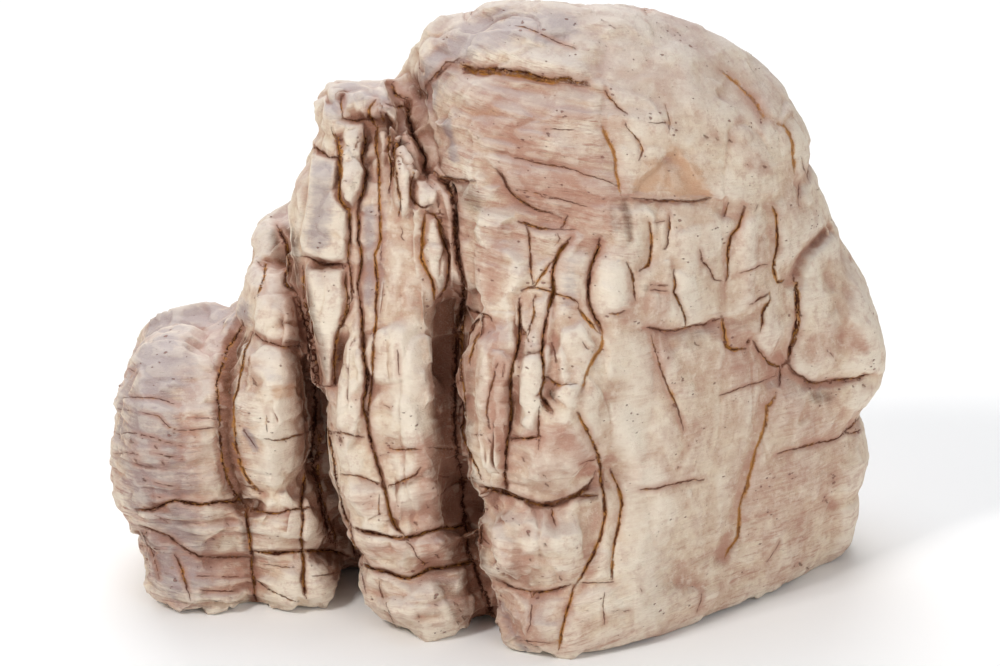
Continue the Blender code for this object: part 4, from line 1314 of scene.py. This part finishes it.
CREAM = colour(0.72, 0.58, 0.43)
SAND = colour(0.60, 0.44, 0.32)
# Chalk is also painted highlight on high places, bulges and edges
CHALK = colour(0.82, 0.725, 0.60)
# Rose is also painted shade in low places and hollows
ROSE = colour(0.44, 0.22, 0.155)
PINK = colour(0.58, 0.38, 0.30)
# Dust, and painted cool light from above, on faces that look up
DUST_AND_SKY_GREY = colour(0.51, 0.45, 0.45)
MAUVE = colour(0.32, 0.25, 0.255)
OCHRE = colour(0.56, 0.33, 0.20)
# Dirt in the cracks, and painted shade in the hollows
UMBER = colour(0.155, 0.054, 0.022)
SHADE = colour(0.115, 0.042, 0.018)
RUST = colour(0.50, 0.215, 0.042)
CORE = colour(0.070, 0.019, 0.009)
SPECK = colour(0.24, 0.10, 0.075)
BROWN_LINE = colour(0.18, 0.058, 0.032)
print("colours: from chalk", CHALK[:3], "to the core of a crack", CORE[:3])

# %% [markdown]
# Noises and streaks
#
# The same few noises drive all layers: broad ones for patches, fine ones for grain, and three
# that are squeezed flat along the beds for streaks. Sizes are in millimetres. One noise for
# each layer would be freer, but shared ones make the layers belong together, as they do
# on stone.

# %% Noises and streaks
material = bpy.data.materials.new("sandstone")
material.use_nodes = True
Wire.tree = material.node_tree
shader = material.node_tree.nodes["Principled BSDF"]

object_place = Wire.node("ShaderNodeTexCoord", {}, {}, output=3)
place = Wire.node("ShaderNodeVectorMath", {"operation": "SCALE"}, {0: object_place, 3: 1.0 / MM})
bed = stored("bed")
bedded_place = in_beds(place, bed)
up = stored("up")
hollow = stored("hollow")

broad = cloud(place, size=34.0)
patchy = cloud(place, size=9.0, roughness=0.6)
mottled = cloud(place, size=21.0, roughness=0.6)
flecked = cloud(place, size=3.4, detail=4.0, roughness=0.7)
grain = cloud(place, size=1.1, roughness=0.7)
fine = cloud(place, size=0.35, detail=2.0, roughness=0.7)
streak = cloud(stretched(bedded_place, 8.0, 8.0, 1.0), size=1.0, roughness=0.65)
thin_streak = cloud(stretched(bedded_place, 4.5, 4.5, 0.34), size=1.0, roughness=0.6)
thick_streak = cloud(stretched(bedded_place, 26.0, 26.0, 4.2), size=1.0, roughness=0.6)

# %% [markdown]
# Layers of the stone itself, with painted light on its relief
#
# Each layer is mixed over the last one with a mask of its own, so that no edge is clean: high
# places are chalky, low ones rose, and the beds run through both. The chalky high places and
# rose low places are partly the stone's colour and partly painted highlight and painted shade
# on its relief. A picture of stone would be quicker, but it would not know where this stone's
# beds and cracks are.

# %% Layers of the stone itself, with painted light on its relief
bedded = stored("bedded")
rise = stored("rise") + (patchy - 0.5) * 0.5
tone = mixed(broad.between(0.38, 0.62), SAND, CREAM)
# Painted highlight and shade: high places towards chalk, low places towards rose
tone = mixed(rise.between(-0.2, 1.2) * 0.8, tone, CHALK)
tone = mixed((0.0 - rise).between(-0.1, 1.2) * 0.8, tone, ROSE)
tone = mixed(mottled.between(0.50, 0.70) * 0.6, tone, ROSE)
tone = mixed(thick_streak.between(0.44, 0.68) * (0.10 + bedded * 0.6), tone, PINK)
tone = mixed(streak.between(0.52, 0.64) * thick_streak.between(0.36, 0.56) * bedded, tone, ROSE)
thin_mask = thin_streak.between(0.52, 0.66) * patchy.between(0.38, 0.55) * bedded
tone = mixed(thin_mask * 0.7, tone, ROSE)
tone = mixed(flecked.between(0.50, 0.66) * 0.40, tone, ROSE)
tone = mixed((1.0 - flecked).between(0.52, 0.68) * 0.45, tone, CHALK)

# %% [markdown]
# Washes, dust, dirt and painted light and shade
#
# What lies on the stone goes over what it is made of: the washes first, then dust on faces
# that look up, then dirt in the hollows, and last the pale rub on the edges. The order is the
# order in time, because later layers cover earlier ones. Some of these layers also paint light
# and shade: cool light on faces that look up, shade on the walls of the clefts and in the
# hollows, and highlights on the edges.

# %% Washes, dust, dirt and painted light and shade
worn = patchy * 0.6 + streak * 0.4
# The pale strokes also paint highlights, and the mauve strokes also paint cool shade
for name, target, share in (("pale", CHALK, 0.8), ("rose", ROSE, 0.8), ("mauve", MAUVE, 0.75),
                            ("ochre", OCHRE, 0.8)):
    mask = (stored(name) * 1.3 + (worn - 0.5) * 2.2).between(0.25, 1.1)
    tone = mixed(mask * share, tone, target)

# Faces that look up: dust, and painted cool light from above
dust_and_cool_light = up.between(0.25, 0.95) * (0.55 + patchy * 0.5)
tone = mixed(dust_and_cool_light * 0.65, tone, DUST_AND_SKY_GREY)
# Painted shade on the walls of the clefts and under ledges
tone = mixed((stored("painted_shade_wash") * 1.2 + (worn - 0.5) * 1.4).between(0.15, 1.5) * 0.95, tone, SHADE)
# Hollows darkened towards rose and umber: partly dirt, partly painted shade
dirt_and_shade = (hollow * 1.7 + (patchy - 0.5) * 0.4).between(0.25, 0.90)
tone = mixed((hollow * 2.4 + (patchy - 0.5) * 0.8).between(0.15, 0.80) * 0.6, tone, ROSE)
tone = mixed(dirt_and_shade * 0.85, tone, UMBER)
# Edges rubbed pale, and painted highlight on them
worn_and_highlit_edge = (stored("edge") * 5.0 + (grain - 0.5) * 0.8).between(0.2, 1.2)
tone = mixed(worn_and_highlit_edge * 0.2, tone, CHALK)
tone = mixed((fine * 0.6 + grain * 0.4).between(0.45, 0.75) * 0.2, tone, CHALK)
print("nodes so far:", len(Wire.tree.nodes))

# %% [markdown]
# Cracks
#
# A crack on weathered stone isn't a clean line: it frays, swells and nearly closes, its core
# is brown or nearly black, and rust creeps out of it. The mesh stores how far each point is
# from its line, and a jagged noise added to that distance frays the line far below the size
# of a triangle. A drawn line in a picture would fray too, but only at one distance.

# %% Cracks
swelling = cloud(place, size=3.5, detail=2.0, roughness=0.65)
swelling = 0.15 + swelling.between(0.30, 0.68) * 1.15
ember = cloud(place, size=5.0, detail=2.0, roughness=0.6)
jagged = cloud(place, size=1.9, roughness=0.75)
gap = abs(stored("crack_gap") + (jagged - 0.5) * 3.4) / swelling
beside = 1.0 - stored("crack_far").between(0.9, 1.5)
crack_dark = stored("crack_dark") * beside
rusty = stored("rust") * 1.5 + (patchy - 0.5) * 1.6 + (jagged - 0.5) * 1.6 - 0.35
rusty = rusty.between(0.1, 0.9)
# A rose halo beside the cracks: partly stain, partly painted shade
stain_and_shade_halo = (1.0 - stored("crack_far").between(0.8, 5.5)) * mottled.between(0.36, 0.56)
tone = mixed(stain_and_shade_halo * 0.5, tone, ROSE)
tone = mixed(rusty * 0.85, tone, RUST)
edge = (1.0 - gap.between(0.4, 1.8)) * crack_dark
core = (1.0 - gap.between(0.18, 0.62)) * crack_dark
tone = mixed(edge * 0.5, tone, UMBER)
deep = mixed(crack_dark.between(0.75, 1.0), BROWN_LINE, CORE)
glow = ember.between(0.50, 0.62) * stored("rust").between(0.3, 0.9)
tone = mixed(core, tone, mixed(glow, deep, RUST))

# %% [markdown]
# Specks
#
# Small dark grains are strewn through the stone in swarms. The cells of a Voronoi texture
# give each grain its middle, and a noise decides where grains are large enough to show.
# Scattered little meshes would be lost here, as a grain is smaller than a triangle.

# %% Specks
speck_place = stretched(bedded_place, 1.6, 1.6, 0.9)
speck_sockets = {"Vector": speck_place, "Scale": 0.6, "Randomness": 1.0}
speck = Wire.node("ShaderNodeTexVoronoi", {}, speck_sockets)
swarm = cloud(place, size=9.0, detail=2.0, roughness=0.6)
speck_size = swarm.between(0.54, 0.74) * 0.28
pits = 1.0 - (speck + (jagged - 0.5) * 0.7 - speck_size).between(-0.03, 0.06)
tone = mixed(pits * 0.7, tone, SPECK)
Wire.tree.links.new(tone.socket, shader.inputs["Base Color"])
print("nodes with all colours:", len(Wire.tree.nodes))

# %% [markdown]
# The feel of the surface
#
# Worn sandstone is dull, a little smoother where it is rubbed, and rough in its hollows. Its
# grains and the finest beds are too small for the mesh, so a bump carries them.

# %% Roughness and fine relief
SPECULAR_LEVEL = 0.12
BUMP_STRENGTH = 0.9
BUMP_HEIGHT = 1.1 * MM

roughness = 0.62 + (grain - 0.5) * 0.25 + hollow * 0.3
Wire.tree.links.new(roughness.socket, shader.inputs["Roughness"])
shader.inputs["Specular IOR Level"].default_value = SPECULAR_LEVEL

relief = grain * 0.30 + fine * 0.12 + flecked * 0.25
relief = relief + (streak * 1.0 + thin_streak * 0.3) * (0.25 + bedded * 0.75)
relief = relief - core * 0.9 - edge * 0.25 - pits * 0.5
bump_sockets = {"Strength": BUMP_STRENGTH, "Distance": BUMP_HEIGHT, "Height": relief}
bump = Wire.node("ShaderNodeBump", {}, bump_sockets)
Wire.tree.links.new(bump.socket, shader.inputs["Normal"])
print("nodes in the finish:", len(Wire.tree.nodes))

# %% [markdown]
# Handing over the piece
#
# The finished skin takes the place of the plain solid. Nothing on the stone moves, so it
# stays with the root body, and its finish carries the name of the real material.

# %% Handing over the piece
stone.data.materials.clear()
stone.data.materials.append(material)
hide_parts("sandstone")
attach(stone, "root")
print("handed over:", stone.name)

# %% [markdown]
# The floor
#
# The stone stands on a plain pale floor, wide enough that its edge is never seen. A curved
# backdrop would do too, but nothing in the picture asks for one.

# %% The floor
FLOOR_HALF = 3.0
FLOOR_COLOUR = colour(0.93, 0.93, 0.93)
FLOOR_ROUGHNESS = 0.9

floor = bpy.data.objects.new("floor", bpy.data.meshes.new("floor"))
corners = [(x * FLOOR_HALF, y * FLOOR_HALF, 0.0) for x, y in ((-1, -1), (1, -1), (1, 1), (-1, 1))]
floor.data.from_pydata(corners, [], [(0, 1, 2, 3)])
bpy.context.scene.collection.objects.link(floor)
pale = bpy.data.materials.new("pale_floor")
pale.use_nodes = True
pale_shader = pale.node_tree.nodes["Principled BSDF"]
pale_shader.inputs["Base Color"].default_value = FLOOR_COLOUR
pale_shader.inputs["Roughness"].default_value = FLOOR_ROUGHNESS
floor.data.materials.append(pale)
print("floor:", 2 * FLOOR_HALF, "metres wide")

# %% [markdown]
# The light
#
# A small key light from the front left gives the columns their bright sides and leaves the
# right walls of the clefts dark. A weak fill from the right, a cool light from above and a
# dim room keep the shadows soft, and a broad light behind the stone brightens the floor
# there. One sky texture would be simpler, but its light comes from everywhere and would
# flatten the columns.

# %% The lights
def add_light(name, place, size, power, tint=(1.0, 1.0, 1.0)):
    """Add a soft square light that looks at the stone."""
    light = bpy.data.objects.new(name, bpy.data.lights.new(name, "AREA"))
    light.data.size = size
    light.data.energy = power
    light.data.color = tint
    light.location = place
    light.rotation_euler = (Vector(place) - AIM).to_track_quat("Z", "Y").to_euler()
    bpy.context.scene.collection.objects.link(light)


WARM = (1.0, 0.98, 0.95)
COOL = (0.90, 0.94, 1.0)

add_light("key", (-1.15, -1.05, 1.45), size=0.45, power=20.0, tint=WARM)
add_light("fill", (0.9, -1.5, 0.7), size=1.0, power=10.0)
add_light("overhead", (-0.1, 0.3, 1.6), size=1.2, power=9.0, tint=COOL)
add_light("backdrop", (-0.3, 2.6, 1.9), size=2.4, power=60.0)
print("lights:", [light.name for light in bpy.data.lights])

# %% The room
ROOM_STRENGTH = 0.28

room = bpy.data.worlds.new("room")
bpy.context.scene.world = room
room.use_nodes = True
background = room.node_tree.nodes["Background"]
background.inputs["Color"].default_value = colour(1.0, 1.0, 1.0)
background.inputs["Strength"].default_value = ROOM_STRENGTH
bpy.context.scene.view_settings.view_transform = "Standard"
